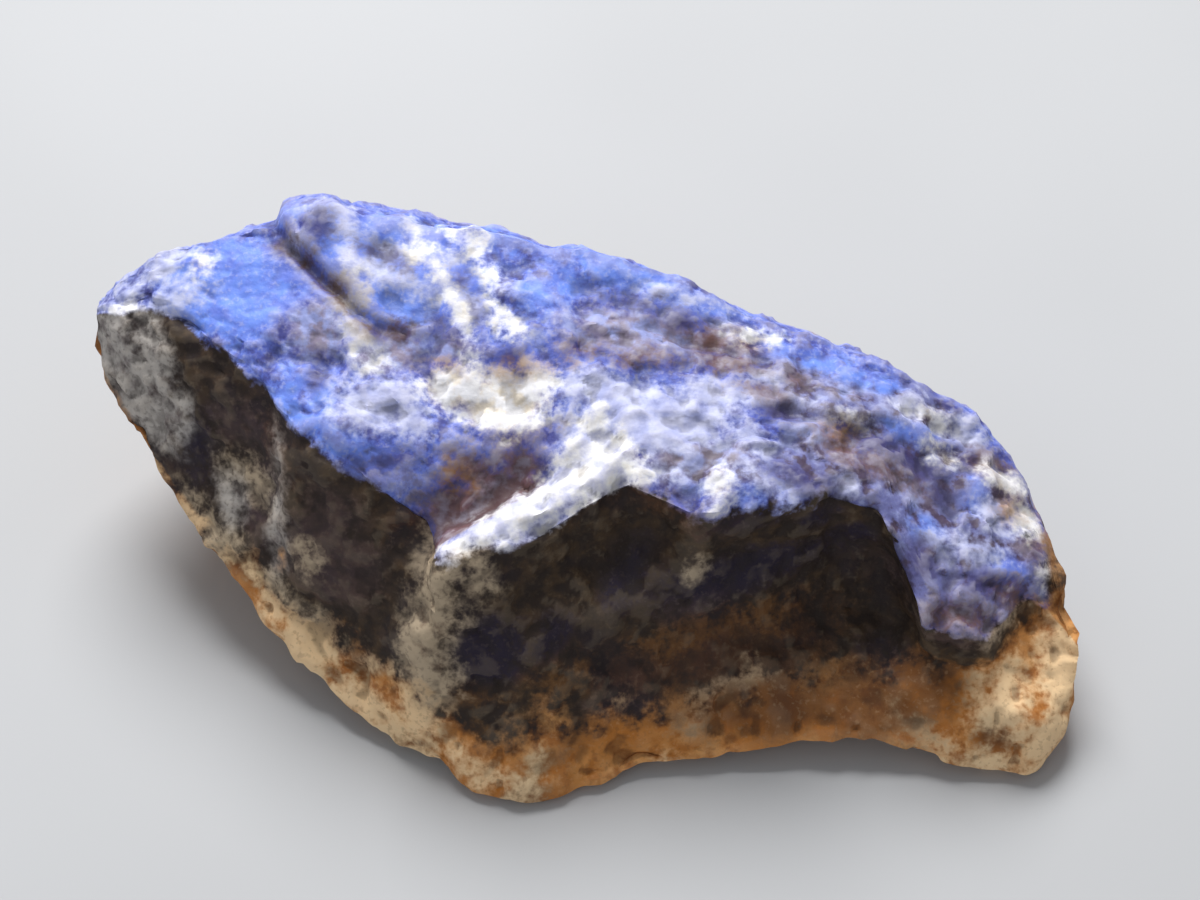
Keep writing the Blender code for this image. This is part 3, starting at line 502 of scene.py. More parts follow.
# A coat is one colour, or a ground and the layers laid over it in turn. A layer says where it
# lies, its weight and its own coat. It lies where a field has passed two levels, rising or
# falling, or in the patches of a family, with how ragged they are instead of levels.
BLUE_COAT = (
    "deep_blue",
    ("tone", (0.38, 0.58), 1.0, "blue"),
    ("tone", (0.50, 0.66), 0.75, "lilac"),
    ("grain", (0.50, 0.70), 0.28, "pale"),
    ("grain", (0.48, 0.34), 0.30, "indigo"),
    ("mottle", (0.46, 0.34), 0.50, "indigo"),
    ("dull", 1.0, 0.80, (
        "dusk", ("mottle", (0.38, 0.50), 1.0, "dull"), ("mottle", (0.54, 0.66), 0.7, "lilac"),
    )),
    ("bright", 1.0, 1.0, (
        "blue", ("tone", (0.40, 0.62), 1.0, "bright"), ("grain", (0.52, 0.72), 0.25, "pale"),
    )),
    ("mauve", 1.0, 0.85, ("mauve", ("mottle", (0.42, 0.60), 1.0, "lilac"))),
    ("pale", 1.0, 0.9, (
        "lilac", ("all", (0.0, 1.0), 0.20, "pale"), ("mottle", (0.34, 0.66), 0.875, "pale"),
    )),
    ("indigo", 1.0, 0.85, "indigo"),
    ("brown", 1.0, 0.92, ("brown", ("mottle", (0.46, 0.70), 1.0, "mauve"))),
    ("cream", 1.0, 0.9, ("cream", ("mottle", (0.40, 0.56), 1.0, "white"))),
    ("ochre", 1.0, 0.7, "ochre"),
    ("vein", 1.2, 0.85, (
        "pale", ("mottle", (0.36, 0.60), 1.0, "white"), ("mottle", (0.56, 0.70), 0.5, "cream"),
    )),
    ("crack", 0.6, 0.9, "umber"),
    # painted highlight: paler on the rises and edges
    ("hollow", (0.40, 0.0), 0.14, "pale"),
)
FRONT_COAT = (
    "front",
    ("mottle", (0.40, 0.62), 1.0, "olive"),
    ("broad", (0.46, 0.66), 0.35, "navy"),
    ("navy", 1.0, 0.9, "navy"),
    ("mauve", 1.0, 0.5, "dusk"),
    ("brown", 1.0, 0.6, "umber"),
    ("ochre", 1.0, 0.40, "ochre_front"),
    ("tan", 1.0, 0.75, ("umber", ("mottle", (0.18, 0.52), 1.0, "beige"))),
    ("ash", 0.6, 0.72, ("dusk", ("mottle", (0.16, 0.60), 1.0, "ash"))),
    ("grain", (0.46, 0.34), 0.3, "front"),
    ("grain", (0.54, 0.72), 0.05, "beige"),
)
RIND_COAT = (
    "rind_dark",
    ("mottle", (0.36, 0.62), 1.0, "rind"),
    ("broad", (0.44, 0.62), 0.5, "rind_orange"),
    ("ochre", 1.0, 0.7, "rind_orange"),
    ("brown", 1.0, 0.7, "umber"),
    ("tan", 1.0, 0.8, "rind_pale"),
    ("shade", 1.0, 0.70, "umber"),
    ("under", (1.0, 0.5), 0.32, "umber"),
    ("grain", (0.46, 0.34), 0.22, "umber"),
    ("grain", (0.54, 0.72), 0.10, "rind_pale"),
)
STONE_COAT = (
    FRONT_COAT,
    ("above", TOP_LEVELS, 1.0, BLUE_COAT),
    ("rind", 1.0, 1.0, RIND_COAT),
    # painted shade: the stone made darker in its hollows
    ("hollow", (0.55, 1.0), 0.40, "hollow_shade"),
    # painted highlight: paler on the rises and edges
    ("hollow", (0.40, 0.0), 0.07, "beige"),
)

# roughness of each area, and how much the grain varies it
FRONT_ROUGHNESS = 0.72
TOP_ROUGHNESS = 0.52
RIND_ROUGHNESS = 0.84
GRAIN_ROUGHNESS = 0.3
# the finest grain is given by shading: shares of its height, with cells so many to a millimetre
BUMP_SHARES = {"grain": 0.6, "mottle": 0.4}
BUMP_CELLS = (2.2, 0.35)
BUMP_STRENGTH = 0.6

# ---- the stage, metres ----

FLOOR_SIDES = 96
# the floor's uneven tone: how many patches to a metre and their detail, the levels between
# which they come in, and how much darker they are
FLOOR_NOISE = (14.0, 2.0)
FLOOR_LEVELS = (0.4, 0.6)
FLOOR_SHADE = 0.96
FLOOR_ROUGHNESS = 0.7
CAMERA_TARGET = (0.00135, 0.00169, 0.012)
LENS = 90.0
SENSOR = 36.0
CLIP_START = 0.01
# size, place and target of each light
KEY_LIGHT = (0.34, (-0.06, 0.34, 0.44), (0.0, 0.0, 0.01))
FILL_LIGHT = (0.5, (-0.25, -0.45, 0.35), (0.0, 0.0, 0.01))
AIR_COLOUR = (0.93, 0.96, 1.0)

# ---- fields over places ----


def ease(value, low, high):
    """Rises smoothly from 0 at low to 1 at high."""
    t = np.clip((value - low) / (high - low), 0.0, 1.0)
    return t * t * (3.0 - 2.0 * t)


def lattice(seed, parts):
    """A block of fixed random numbers that repeats in all three directions."""
    return np.random.default_rng(seed).random((32, 32, 32, parts))


def lumps(place, size, seed):
    """Smooth noise from -1 to 1: numbers at the corners of a lattice, eased between them."""
    table = lattice(seed, 1)[..., 0] * 2.0 - 1.0
    scaled = place / size
    low = np.floor(scaled).astype(int)
    share = ease(scaled - low, 0.0, 1.0)
    total = 0.0
    for corner in np.ndindex(2, 2, 2):
        at = (low + corner) % table.shape[0]
        weight = np.prod(np.where(corner, share, 1.0 - share), axis=-1)
        total = total + weight * table[at[..., 0], at[..., 1], at[..., 2]]
    return total


def chips(place, size, seed):
    """Flat chips: each place takes the height of the tilted plane of its nearest centre,
    with a narrow ramp where two chips meet."""
    table = lattice(seed, 7)
    scaled = place / size
    low = np.floor(scaled).astype(int)
    near = np.full(place.shape[:-1], np.inf)
    next_near = near.copy()
    height = np.zeros_like(near)
    next_height = np.zeros_like(near)
    for corner in np.ndindex(3, 3, 3):
        cell = low + corner - 1
        at = cell % table.shape[0]
        row = table[at[..., 0], at[..., 1], at[..., 2]]
        away = scaled - (cell + CHIP_MARGIN + (1.0 - 2.0 * CHIP_MARGIN) * row[..., :3])
        far = np.linalg.norm(away, axis=-1)
        plane = np.sum((row[..., 3:6] * 2.0 - 1.0) * away, axis=-1)
        plane = plane + CHIP_STEP * (row[..., 6] - 0.5)
        first = far < near
        second = ~first & (far < next_near)
        next_height = np.where(first, height, np.where(second, plane, next_height))
        next_near = np.where(first, near, np.where(second, far, next_near))
        height = np.where(first, plane, height)
        near = np.where(first, far, near)
    share = 0.5 + 0.5 * ease(next_near - near, 0.0, CHIP_RAMP)
    return size * (share * height + (1.0 - share) * next_height)


def wander(place):
    """Places pushed about by smooth noise, so that what is drawn straight comes out broken."""
    size, share = WANDER_CLOSE
    wide = [lumps(place, WANDER_SIZE, SEED + 11 + axis) for axis in range(3)]
    close = [lumps(place, size, SEED + 14 + axis) for axis in range(3)]
    return place + WANDER * (np.stack(wide, axis=-1) + share * np.stack(close, axis=-1))


def path_distance(place, path):
    """Distance seen from above to a path, positive on its left, and the share along it."""
    flat = place[..., :2]
    best = np.full(flat.shape[:-1], np.inf)
    signed = best.copy()
    along = np.zeros_like(best)
    corners = np.array(path)
    for number, (start, end) in enumerate(zip(corners[:-1], corners[1:])):
        run = end - start
        share = np.clip(np.sum((flat - start) * run, axis=-1) / np.dot(run, run), 0.0, 1.0)
        away = flat - start - share[..., None] * run
        far = np.linalg.norm(away, axis=-1)
        side = np.sign(run[0] * away[..., 1] - run[1] * away[..., 0])
        closer = far < best
        signed = np.where(closer, far * side, signed)
        along = np.where(closer, (number + share) / (len(corners) - 1), along)
        best = np.where(closer, far, best)
    return signed, along


def vein_distance(place):
    """Distance from the middle of the vein's sheet, positive in front of it."""
    top, edge, low = np.array(VEIN)
    normal = np.cross(edge - top, low - top)
    return np.dot(place - top, normal / np.linalg.norm(normal))


def vein_share(place):
    """Share of the way along the vein, from its top end to the edge of the front."""
    top, edge = np.array(VEIN[:2])
    run = edge - top
    return np.dot(place - top, run) / np.dot(run, run)


# ---- the skin ----


def loft():
    """A grid of places: the lines read at each station, joined straight to the next line."""
    share = np.linspace(0.0, 1.0, STATIONS)
    rounder = 0.5 - 0.5 * np.cos(np.pi * share)
    start = LINES["foot"][0][0]
    end = LINES["foot"][-1][0]
    x = start + (end - start) * (share + END_CROWDING * (rounder - share))
    lines = []
    for places in LINES.values():
        knots = np.array(places)
        y = np.interp(x, knots[:, 0], knots[:, 1])
        z = np.interp(x, knots[:, 0], knots[:, 2])
        lines.append(np.stack([x, y, z], axis=-1))
    rows = []
    for number, steps in enumerate(SPANS):
        here = lines[number]
        there = lines[(number + 1) % len(lines)]
        rows += [here + (there - here) * step / steps for step in range(steps)]
    return np.array(rows)


def line_numbers():
    """How far round the section each row is: its line's number plus the share to the next."""
    rows = [number + np.arange(steps) / steps for number, steps in enumerate(SPANS)]
    return np.concatenate(rows)[:, None]


def outward(skin):
    """Unit normals of the grid, smoothed over a few steps so that creases don't cross."""
    around = np.roll(skin, -1, axis=0) - np.roll(skin, 1, axis=0)
    normal = np.cross(np.gradient(skin, axis=1), around)
    for _ in range(NORMAL_ROUNDS):
        normal = normal + np.roll(normal, 1, axis=0) + np.roll(normal, -1, axis=0)
        normal[:, 1:-1] = normal[:, 1:-1] + normal[:, 2:] + normal[:, :-2]
        normal /= np.linalg.norm(normal, axis=-1, keepdims=True) + TINY
    return normal


def slab_and_crack(place):
    """The raised slab behind its crack, dying out towards +X."""
    signed, along = path_distance(place, SLAB)
    proud = SLAB_PROUD * (1.0 - SLAB_LOWER * ease(along, *SLAB_LOWER_FROM_TO))
    slab = proud * ease(signed, *SLAB_WALL_FROM_TO)
    slab = slab * (1.0 - ease(place[..., 0], *SLAB_OUT_FROM_TO))
    crack = np.exp(-(((signed + CRACK_AWAY) / CRACK_WIDE) ** 2)) * ease(along, *CRACK_FROM_TO)
    crack = CRACK_DEEP * crack * (1.0 - ease(along, *CRACK_OUT_FROM_TO))
    return ease(place[..., 2], *TOP_MARKS_FROM_TO) * (slab - crack)


def vein_and_notch(place):
    """The white vein standing proud on the top, and the notch broken out beside it, whose floor is
    coloured brown, partly as painted shade.
    """
    side = vein_distance(place)
    ridge = (1.0 - ease(np.abs(side), *VEIN_SIDE_FROM_TO)) * ease(vein_share(place), *VEIN_FROM_TO)
    size, share = VEIN_UNEVEN
    ridge = ridge * (1.0 + share * lumps(place, size, SEED + 21))
    move = VEIN_PROUD * ridge - NOTCH_DEEP * notch(place)
    return ease(place[..., 2], *TOP_MARKS_FROM_TO) * move


def notch(place):
    """How whole the floor of the notch behind the vein is, from 0 outside it to 1."""
    along = vein_share(place)
    behind = -vein_distance(place) - VEIN_HALF
    hollow = ease(behind, *NOTCH_WALL_FROM_TO)
    hollow = hollow * (1.0 - ease(behind, NOTCH_WALL_FROM_TO[1], NOTCH_WIDE))
    return hollow * ease(along, *NOTCH_FROM_TO) * (1.0 - ease(along, *NOTCH_OUT_FROM_TO))


def grooves_and_pits(place):
    """The small hollows of the top."""
    total = np.zeros(place.shape[:-1])
    for path, deep, half in GROOVES:
        signed, along = path_distance(place, path)
        ends = ease(along, 0.0, GROOVE_END) * (1.0 - ease(along, 1.0 - GROOVE_END, 1.0))
        total -= deep * ends * np.exp(-((signed / half) ** 2))
    for x, y, radius, deep in PITS:
        far = np.hypot(place[..., 0] - x, place[..., 1] - y)
        total -= deep * (1.0 - ease(far, PIT_FLOOR * radius, radius))
    return ease(place[..., 2], *TOP_MARKS_FROM_TO) * total


def lobes(place):
    """Rounded lobes that stand out."""
    total = np.zeros(place.shape[:-1])
    for centre, reach, proud in LOBES:
        far = np.linalg.norm(place - np.array(centre), axis=-1)
        total += proud * (1.0 - ease(far, 0.0, reach))
    return total


def ledges(place, normal):
    """The back steps in under an edge and comes out again below."""
    total = np.zeros(place.shape[:-1])
    for corner, way, deep in LEDGES:
        below = np.dot(np.array(corner) - place, np.array(way))
        total -= deep * ease(below, *LEDGE_FROM_TO) * (1.0 - ease(below, *LEDGE_OUT_FROM_TO))
    return ease(normal[..., 1], *BACK_FROM_TO) * total


def nicks(place):
    """Bits gone from the edges where the noise is high on their lines, but not at the ends."""
    total = np.zeros(place.shape[:-1])
    middle = 1.0 - ease(np.abs(place[..., 0]), *NICK_ENDS_FROM_TO)
    for number, (line, half, size, deep) in enumerate(NICKS):
        near = np.exp(-(((line_numbers() - line) / half) ** 2))
        total -= deep * near * ease(lumps(place, size, SEED + 22 + number), *NICK_FROM_TO)
    return middle * total


def chipped(place, normal):
    """Flat chips of each size, weaker on the smooth face at the left of the top and low down
    on the right, where the rind is worn."""
    smooth = ease(-place[..., 0], *CALM_FROM_TO) * ease(normal[..., 2], *CALM_UP_FROM_TO)
    low = ease(place[..., 0], *WORN_FROM_TO) * (1.0 - ease(place[..., 2], *WORN_UNDER_FROM_TO))
    total = np.zeros(place.shape[:-1])
    for number, (size, slope) in enumerate(CHIPS):
        total += slope * chips(place, size, SEED + number)
    return (1.0 - CALM_SHARE * smooth) * (1.0 - WORN_SHARE * low) * total


def broken(skin):
    """The skin moved along its normals by every mark of the stone."""
    normal = outward(skin)
    bent = wander(skin)
    move = slab_and_crack(skin + SLAB_BEND * (bent - skin))
    move += vein_and_notch(skin + VEIN_BEND * (bent - skin))
    move += grooves_and_pits(bent)
    move += lobes(skin) + ledges(bent, normal) + nicks(skin) + chipped(skin, normal)
    rind = 1.0 - ease(skin[..., 2], *RIND_OUT_FROM_TO)
    move += RIND_PROUD * rind * lumps(skin, RIND_LUMP, SEED + 7)
    return skin + normal * move[..., None] + np.array(CENTRING)


# ---- the finished skin ----


def spots(flat, ovals):
    """How far inside the nearest oval each place is, in millimetres: one less its radius
    counted in half widths, times the smaller half width."""
    inside = np.full(flat.shape[:-1], -FAR)
    for u, v, half_u, half_v in ovals:
        radius = np.hypot((flat[..., 0] - u) / half_u, (flat[..., 1] - v) / half_v)
        inside = np.maximum(inside, (1.0 - radius) * min(half_u, half_v))
    return inside


def strokes(place, drawn):
    """How far inside the nearest stroke each place is: its half width, made uneven by noise,
    less the distance from its path."""
    inside = np.full(place.shape[:-1], -FAR)
    size, share = STROKE_RAGGED
    uneven = 1.0 + share * lumps(place, size, SEED + 34)
    for path, half in drawn:
        signed, _ = path_distance(place, path)
        inside = np.maximum(inside, half * uneven - np.abs(signed))
    return inside


def vein_inside(place):
    """How far inside the vein each place is: half its width, made uneven by noise, less the
    distance from its middle. Behind, it spreads towards its top end, where it runs out."""
    length = np.linalg.norm(np.subtract(VEIN[1], VEIN[0]))
    share = vein_share(place)
    side = vein_distance(place)
    spread = VEIN_SPREAD * np.clip(1.0 - share, 0.0, 1.0) * (side < 0.0)
    size, uneven = VEIN_RAGGED
    half = VEIN_HALF * (1.0 + uneven * lumps(place, size, SEED + 33)) + spread
    return np.minimum(half - np.abs(side), (share - VEIN_OUT) * length)


def crack_inside(place):
    """How far inside the brown stretch of the crack under the slab each place is."""
    signed, along = path_distance(place, SLAB)
    first, last = CRACK_BROWN
    ends = np.minimum(along - first, last - along) * SLAB_LENGTH
    return np.minimum(CRACK_WIDE - np.abs(signed + CRACK_AWAY), ends)


def noise_sum(place, parts, seed):
    """Smooth noises of the given sizes added up, each times its height."""
    total = 0.0
    for number, (size, high) in enumerate(parts):
        total = total + high * lumps(place, size, SEED + seed + number)
    return total


def areas(place, turn):
    """How far inside the top, the front, the back and the rind each place is, from the number
    of its line, and the wobble of their edges."""
    wobble = noise_sum(place, WOBBLE, 31)
    past = place[..., 0] - TOP_END
    size, far = BACK_SWAY
    sway = far * lumps(place, size, SEED + 35)
    top = np.minimum(turn - TOP_LINES[0], TOP_LINES[1] + sway - turn) * LINE_GAP
    front = (TOP_LINES[0] - turn) * LINE_GAP
    back = np.minimum(turn - BACK_LINES[0], BACK_LINES[1] - turn) * LINE_GAP
    reach = np.interp(place[..., 0], *np.array(RIND_EDGE).T)
    rind = np.maximum(reach - turn, turn - UNDER_LINE - sway) * LINE_GAP
    return np.minimum(top, -past), front, back, np.maximum(rind, past) + wobble, wobble


def colour_masks(place, turn):
    """Masks of the colours. Each is 0.5 at an edge, 1 well inside and 0 well outside, from
    the distance inside its marks over twice the fade."""
    bent = wander(place)
    own = bent - np.array(CENTRING)
    above, before, behind, under, wobble = areas(place, turn)
    inside = {}
    for family in FAMILIES:
        top = spots(bent, TOP_SPOTS.get(family, ()))
        top = np.maximum(top, strokes(bent, TOP_STROKES.get(family, ())))
        front = spots(bent[..., ::2], FRONT_SPOTS.get(family, ()))
        inside[family] = np.maximum(np.minimum(top, above), np.minimum(front, before))
    for patches, area in ((BACK_PATCHES, behind), (RIND_PATCHES, under)):
        for family, size, seed, level in patches:
            patch = (lumps(bent, size, SEED + seed) - level) * size
            inside[family] = np.maximum(inside[family], np.minimum(patch, area))
    sheet = vein_inside(own)
    inside["vein"] = np.maximum(inside["vein"], np.minimum(sheet, above + LINE_GAP))
    stripe = np.minimum(sheet, np.minimum(STRIPE_END - own[..., 0], own[..., 2] - STRIPE_FOOT))
    inside["tan"] = np.maximum(inside["tan"], np.minimum(stripe, before))
    # the floor of the notch joins the brown marks, partly as painted shade of the recess
    hollow = notch(own) * ease(own[..., 2], *TOP_MARKS_FROM_TO)
    hollow = np.minimum((hollow - NOTCH_BROWN) * NOTCH_WIDE, above + LINE_GAP)
    inside["brown"] = np.maximum(inside["brown"], hollow)
    inside["crack"] = np.minimum(crack_inside(own), above)
    inside["top"] = above + TOP_WOBBLE * wobble
    inside["rind"] = under
    return {name: np.clip(0.5 + far / (2.0 * FADE), 0.0, 1.0) for name, far in inside.items()}


def fine_relief(place, mask):
    """Millimetres that the finished skin stands off the solid's: small chips and grains on
    the blue and the front, lumps less pits on the rind, and a sugary rise on the veins."""
    hackle = 0.0
    for number, (size, slope) in enumerate(HACKLE):
        hackle = hackle + slope * chips(place, size, SEED + 50 + number)
    smooth = ease(mask["bright"], *SMOOTH_FROM_TO) * ease(mask["top"], *SMOOTH_FROM_TO)
    size, high = GRAIN
    hard = (1.0 - SMOOTH_SHARE * smooth) * hackle + high * lumps(place, size, SEED + 53)
    size, deep = RIND_PIT
    pits = ease(lumps(place, size, SEED + 57), *RIND_PIT_FROM_TO)
    weathered = noise_sum(place, RIND_GRAIN, 54) - deep * pits
    rind = ease(mask["rind"], *RIND_SKIN_FROM_TO)
    size, high = VEIN_GRAIN
    sugar = high * (1.0 + lumps(place, size, SEED + 58))
    sugar = ease(mask["vein"], *VEIN_SKIN_FROM_TO) * sugar
    return rind * weathered + (1.0 - rind) * hard + sugar


def hollowness(place, normal):
    """From -1 on the sharpest rises to 1 in the deepest hollows: how far the places a few
    steps away stand above each place, along its normal."""
    total = 0.0
    for steps in HOLLOW_STEPS:
        wide = np.pad(place, ((0, 0), (steps, steps), (0, 0)), mode="edge")
        near = wide[:, 2 * steps:] + wide[:, : place.shape[1]]
        near = near + np.roll(place, steps, axis=0) + np.roll(place, -steps, axis=0)
        total = total + np.sum((0.25 * near - place) * normal, axis=-1)
    return np.clip(total / HOLLOW_DEPTH, -1.0, 1.0)


def softened(grid, rounds):
    """The grid after each value is averaged with its neighbours the given number of times,
    so that no step in it is as sharp as the grid itself."""
    for _ in range(rounds):
        grid = 0.5 * grid + 0.25 * (np.roll(grid, 1, axis=0) + np.roll(grid, -1, axis=0))
        wide = np.pad(grid, ((0, 0), (1, 1), (0, 0)), mode="edge")
        grid = 0.5 * grid + 0.25 * (wide[:, 2:] + wide[:, :-2])
    return grid


def finished_skin():
    """The places of the finished skin, and its masks."""
    skin = loft()
    blunt = ease(skin[..., :1], *BLUNT_FROM_TO)
    skin = skin + blunt * (softened(skin, BLUNT_ROUNDS) - skin)
    normal = outward(skin)
    place = skin + softened(broken(skin) - skin, STEP_ROUNDS)
    mask = colour_masks(place, np.broadcast_to(line_numbers(), place.shape[:2]))
    place = place + normal * fine_relief(place, mask)[..., None]
    # the hollowness carries painted shade into the hollows and painted highlight onto the rises
    mask["hollow"] = 0.5 + 0.5 * hollowness(place, normal)
    high = place[..., 2]
    place[..., 2] = 0.5 * (high + np.hypot(high, FLOOR_SOFTNESS))
    return place, mask


# ---- meshes ----


def closed_mesh(name, place, mask):
    """The grid wrapped round and closed at both ends on a middle point, with its masks."""
    around, stations = place.shape[:2]
    row = np.arange(around)[:, None]
    here = row * stations + np.arange(stations - 1)
    there = (row + 1) % around * stations + np.arange(stations - 1)
    faces = np.stack([here, here + 1, there + 1, there], axis=-1).reshape(-1, 4).tolist()
    first = around * stations
    start = row[:, 0] * stations
    after = (row[:, 0] + 1) % around * stations
    last = stations - 1
    faces += [[first, a, b] for a, b in zip(start, after)]
    faces += [[first + 1, b + last, a + last] for a, b in zip(start, after)]
    mesh = bpy.data.meshes.new(name)
    mesh.from_pydata((with_ends(place) * MM).tolist(), [], faces)
    for key, values in mask.items():
        layer = mesh.attributes.new(key, "FLOAT", "POINT")
        layer.data.foreach_set("value", with_ends(values[..., None])[:, 0].astype(np.float32))
    mesh.shade_smooth()
    mesh.set_sharp_from_angle(angle=SHARP_FROM)
    mesh.update()
    return mesh


def with_ends(grid):
    """The grid as one list, followed by the mean of its first and of its last section."""
    ends = [grid[:, 0].mean(axis=0), grid[:, -1].mean(axis=0)]
    return np.concatenate([grid.reshape(-1, grid.shape[-1]), ends])


# ---- materials ----


class Value:
    """A number that varies over a surface. Each operator adds a Math node."""

    def __init__(self, shader, socket):
        self.shader = shader
        self.socket = socket

    def reckon(self, operation, first, second):
        return self.shader.node("ShaderNodeMath", {"operation": operation}, {0: first, 1: second})

    def __add__(self, other):
        return self.reckon("ADD", self, other)

    def __radd__(self, other):
        return self.reckon("ADD", other, self)

    def __sub__(self, other):
        return self.reckon("SUBTRACT", self, other)

    def __rsub__(self, other):
        return self.reckon("SUBTRACT", other, self)

    def __mul__(self, other):
        return self.reckon("MULTIPLY", self, other)

    def __rmul__(self, other):
        return self.reckon("MULTIPLY", other, self)


class Shader:
    """One material and the nodes in it."""

    def __init__(self, name):
        self.material = bpy.data.materials.new(name)
        self.material.use_nodes = True
        self.tree = self.material.node_tree
        self.surface = self.tree.nodes["Principled BSDF"]

    def node(self, kind, settings, sockets, output=0):
        """A node of a kind: its settings are set first, then its sockets, by value or link."""
        made = self.tree.nodes.new(kind)
        for key, value in settings.items():
            setattr(made, key, value)
        for key, value in sockets.items():
            self.feed(made.inputs[key], value)
        return Value(self, made.outputs[output])

    def feed(self, socket, value):
        if isinstance(value, Value):
            self.tree.links.new(value.socket, socket)
        else:
            socket.default_value = value

    def finish(self, key, value):
        self.feed(self.surface.inputs[key], value)

    def mask(self, name):
        return self.node("ShaderNodeAttribute", {"attribute_name": name}, {}, 2)

    def noise(self, place, scale, detail):
        sockets = {"Vector": place, "Scale": scale, "Detail": detail}
        return self.node("ShaderNodeTexNoise", {}, {**sockets, "Roughness": NOISE_ROUGHNESS})

    def cells(self, place, scale):
        return self.node("ShaderNodeTexVoronoi", {}, {"Vector": place, "Scale": scale})

    def rise(self, value, low, high):
        """Rises smoothly from 0 at low to 1 at high."""
        settings = {"interpolation_type": "SMOOTHSTEP"}
        sockets = {"Value": value, "From Min": low, "From Max": high}
        return self.node("ShaderNodeMapRange", settings, sockets)

    def mix(self, share, first, second):
        """From the first colour to the second as the share goes from 0 to 1."""
        sockets = {0: share, 6: first, 7: second}
        return self.node("ShaderNodeMix", {"data_type": "RGBA"}, sockets, 2)


def rgba(colour):
    return (*colour, 1.0)


def colour_fields(shader, place):
    """The fields that the layers of the coats follow."""
    fields = {name: shader.noise(place, *noise) for name, noise in NOISES.items()}
    fields["tone"] = fields["broad"] * TONE_BROAD + fields["mottle"] * (1.0 - TONE_BROAD)
    by_mottle, by_grain = RAGGED
    ragged = (fields["mottle"] - 0.5) * by_mottle + (fields["grain"] - 0.5) * by_grain
    fields["ragged"] = ragged
    fields["above"] = shader.mask("top") + ragged * TOP_RAGGED
    fields["under"] = shader.mask("rind")
    fields["hollow"] = shader.mask("hollow")
    fields["all"] = 1.0
    return fields


def patches(shader, fields, family, loose):
    """Where a family's patches lie: the mask, made ragged most at its edge, where the mask
    times one less the mask is highest, and then made steeper."""
    mask = shader.mask(family)
    edge = mask * (1.0 - mask) * 4.0
    return shader.rise(mask + fields["ragged"] * edge * loose, *PATCH_LEVELS)


def coated(shader, look, fields, coat):
    """The colour of a coat: its ground, with each layer mixed in by where it lies times its
    weight."""
    if isinstance(coat, str):
        return rgba(getattr(look, coat))
    ground, *layers = coat
    colour = coated(shader, look, fields, ground)
    for where, how, weight, paint in layers:
        if where in fields:
            lies = shader.rise(fields[where], *how)
        else:
            lies = patches(shader, fields, where, how)
        colour = shader.mix(lies * weight, colour, coated(shader, look, fields, paint))
    return colour


def lapis_material(look):
    """Blue top, dark front and tan rind, each under its mask, with hollows made darker as painted
    shade and rises made paler as painted highlight.
    """
    shader = Shader("lapis")
    metres = shader.node("ShaderNodeTexCoord", {}, {}, 3)
    settings = {"operation": "SCALE"}
    place = shader.node("ShaderNodeVectorMath", settings, {0: metres, "Scale": 1.0 / MM})
    fields = colour_fields(shader, place)
    shader.finish("Base Color", coated(shader, look, fields, STONE_COAT))
    top = shader.rise(fields["above"], *TOP_LEVELS) * (TOP_ROUGHNESS - FRONT_ROUGHNESS)
    rind = patches(shader, fields, "rind", 1.0) * (RIND_ROUGHNESS - FRONT_ROUGHNESS)
    grain = (fields["grain"] - 0.5) * GRAIN_ROUGHNESS
    shader.finish("Roughness", top + rind + grain + FRONT_ROUGHNESS)
    shader.finish("Specular IOR Level", look.gloss)
    scale, share = BUMP_CELLS
    height = shader.cells(place, scale) * share
    for name, part in BUMP_SHARES.items():
        height = height + fields[name] * part
    bump = {"Height": height, "Strength": BUMP_STRENGTH, "Distance": look.bump}
    shader.finish("Normal", shader.node("ShaderNodeBump", {}, bump))
    return shader.material


def floor_material(settings):
    """Plain pale board with a faint unevenness of tone."""
    shader = Shader("pale_floor")
    metres = shader.node("ShaderNodeTexCoord", {}, {}, 3)
    uneven = shader.rise(shader.noise(metres, *FLOOR_NOISE), *FLOOR_LEVELS)
    pale = rgba(settings.floor_colour)
    shade = rgba([FLOOR_SHADE * part for part in settings.floor_colour])
    shader.finish("Base Color", shader.mix(uneven, pale, shade))
    shader.finish("Roughness", FLOOR_ROUGHNESS)
    return shader.material


# ---- settings, operators and panel ----


def tone(red, green, blue):
    """A colour from its display values: each over 255, to the power of the display curve."""
    share = np.array([red, green, blue]) / 255.0
    low = share / 12.92
    high = ((share + 0.055) / 1.055) ** 2.4
    return [round(float(part), 4) for part in np.where(share <= 0.04045, low, high)]


def colour_setting(name, description, *display):
    return bpy.props.FloatVectorProperty(
        name=name, description=description, subtype="COLOR", size=3, min=0.0, max=1.0,
        default=tone(*display))


def number_setting(name, description, default, **kind):
    return bpy.props.FloatProperty(
        name=name, description=description, default=default, min=0.0, **kind)


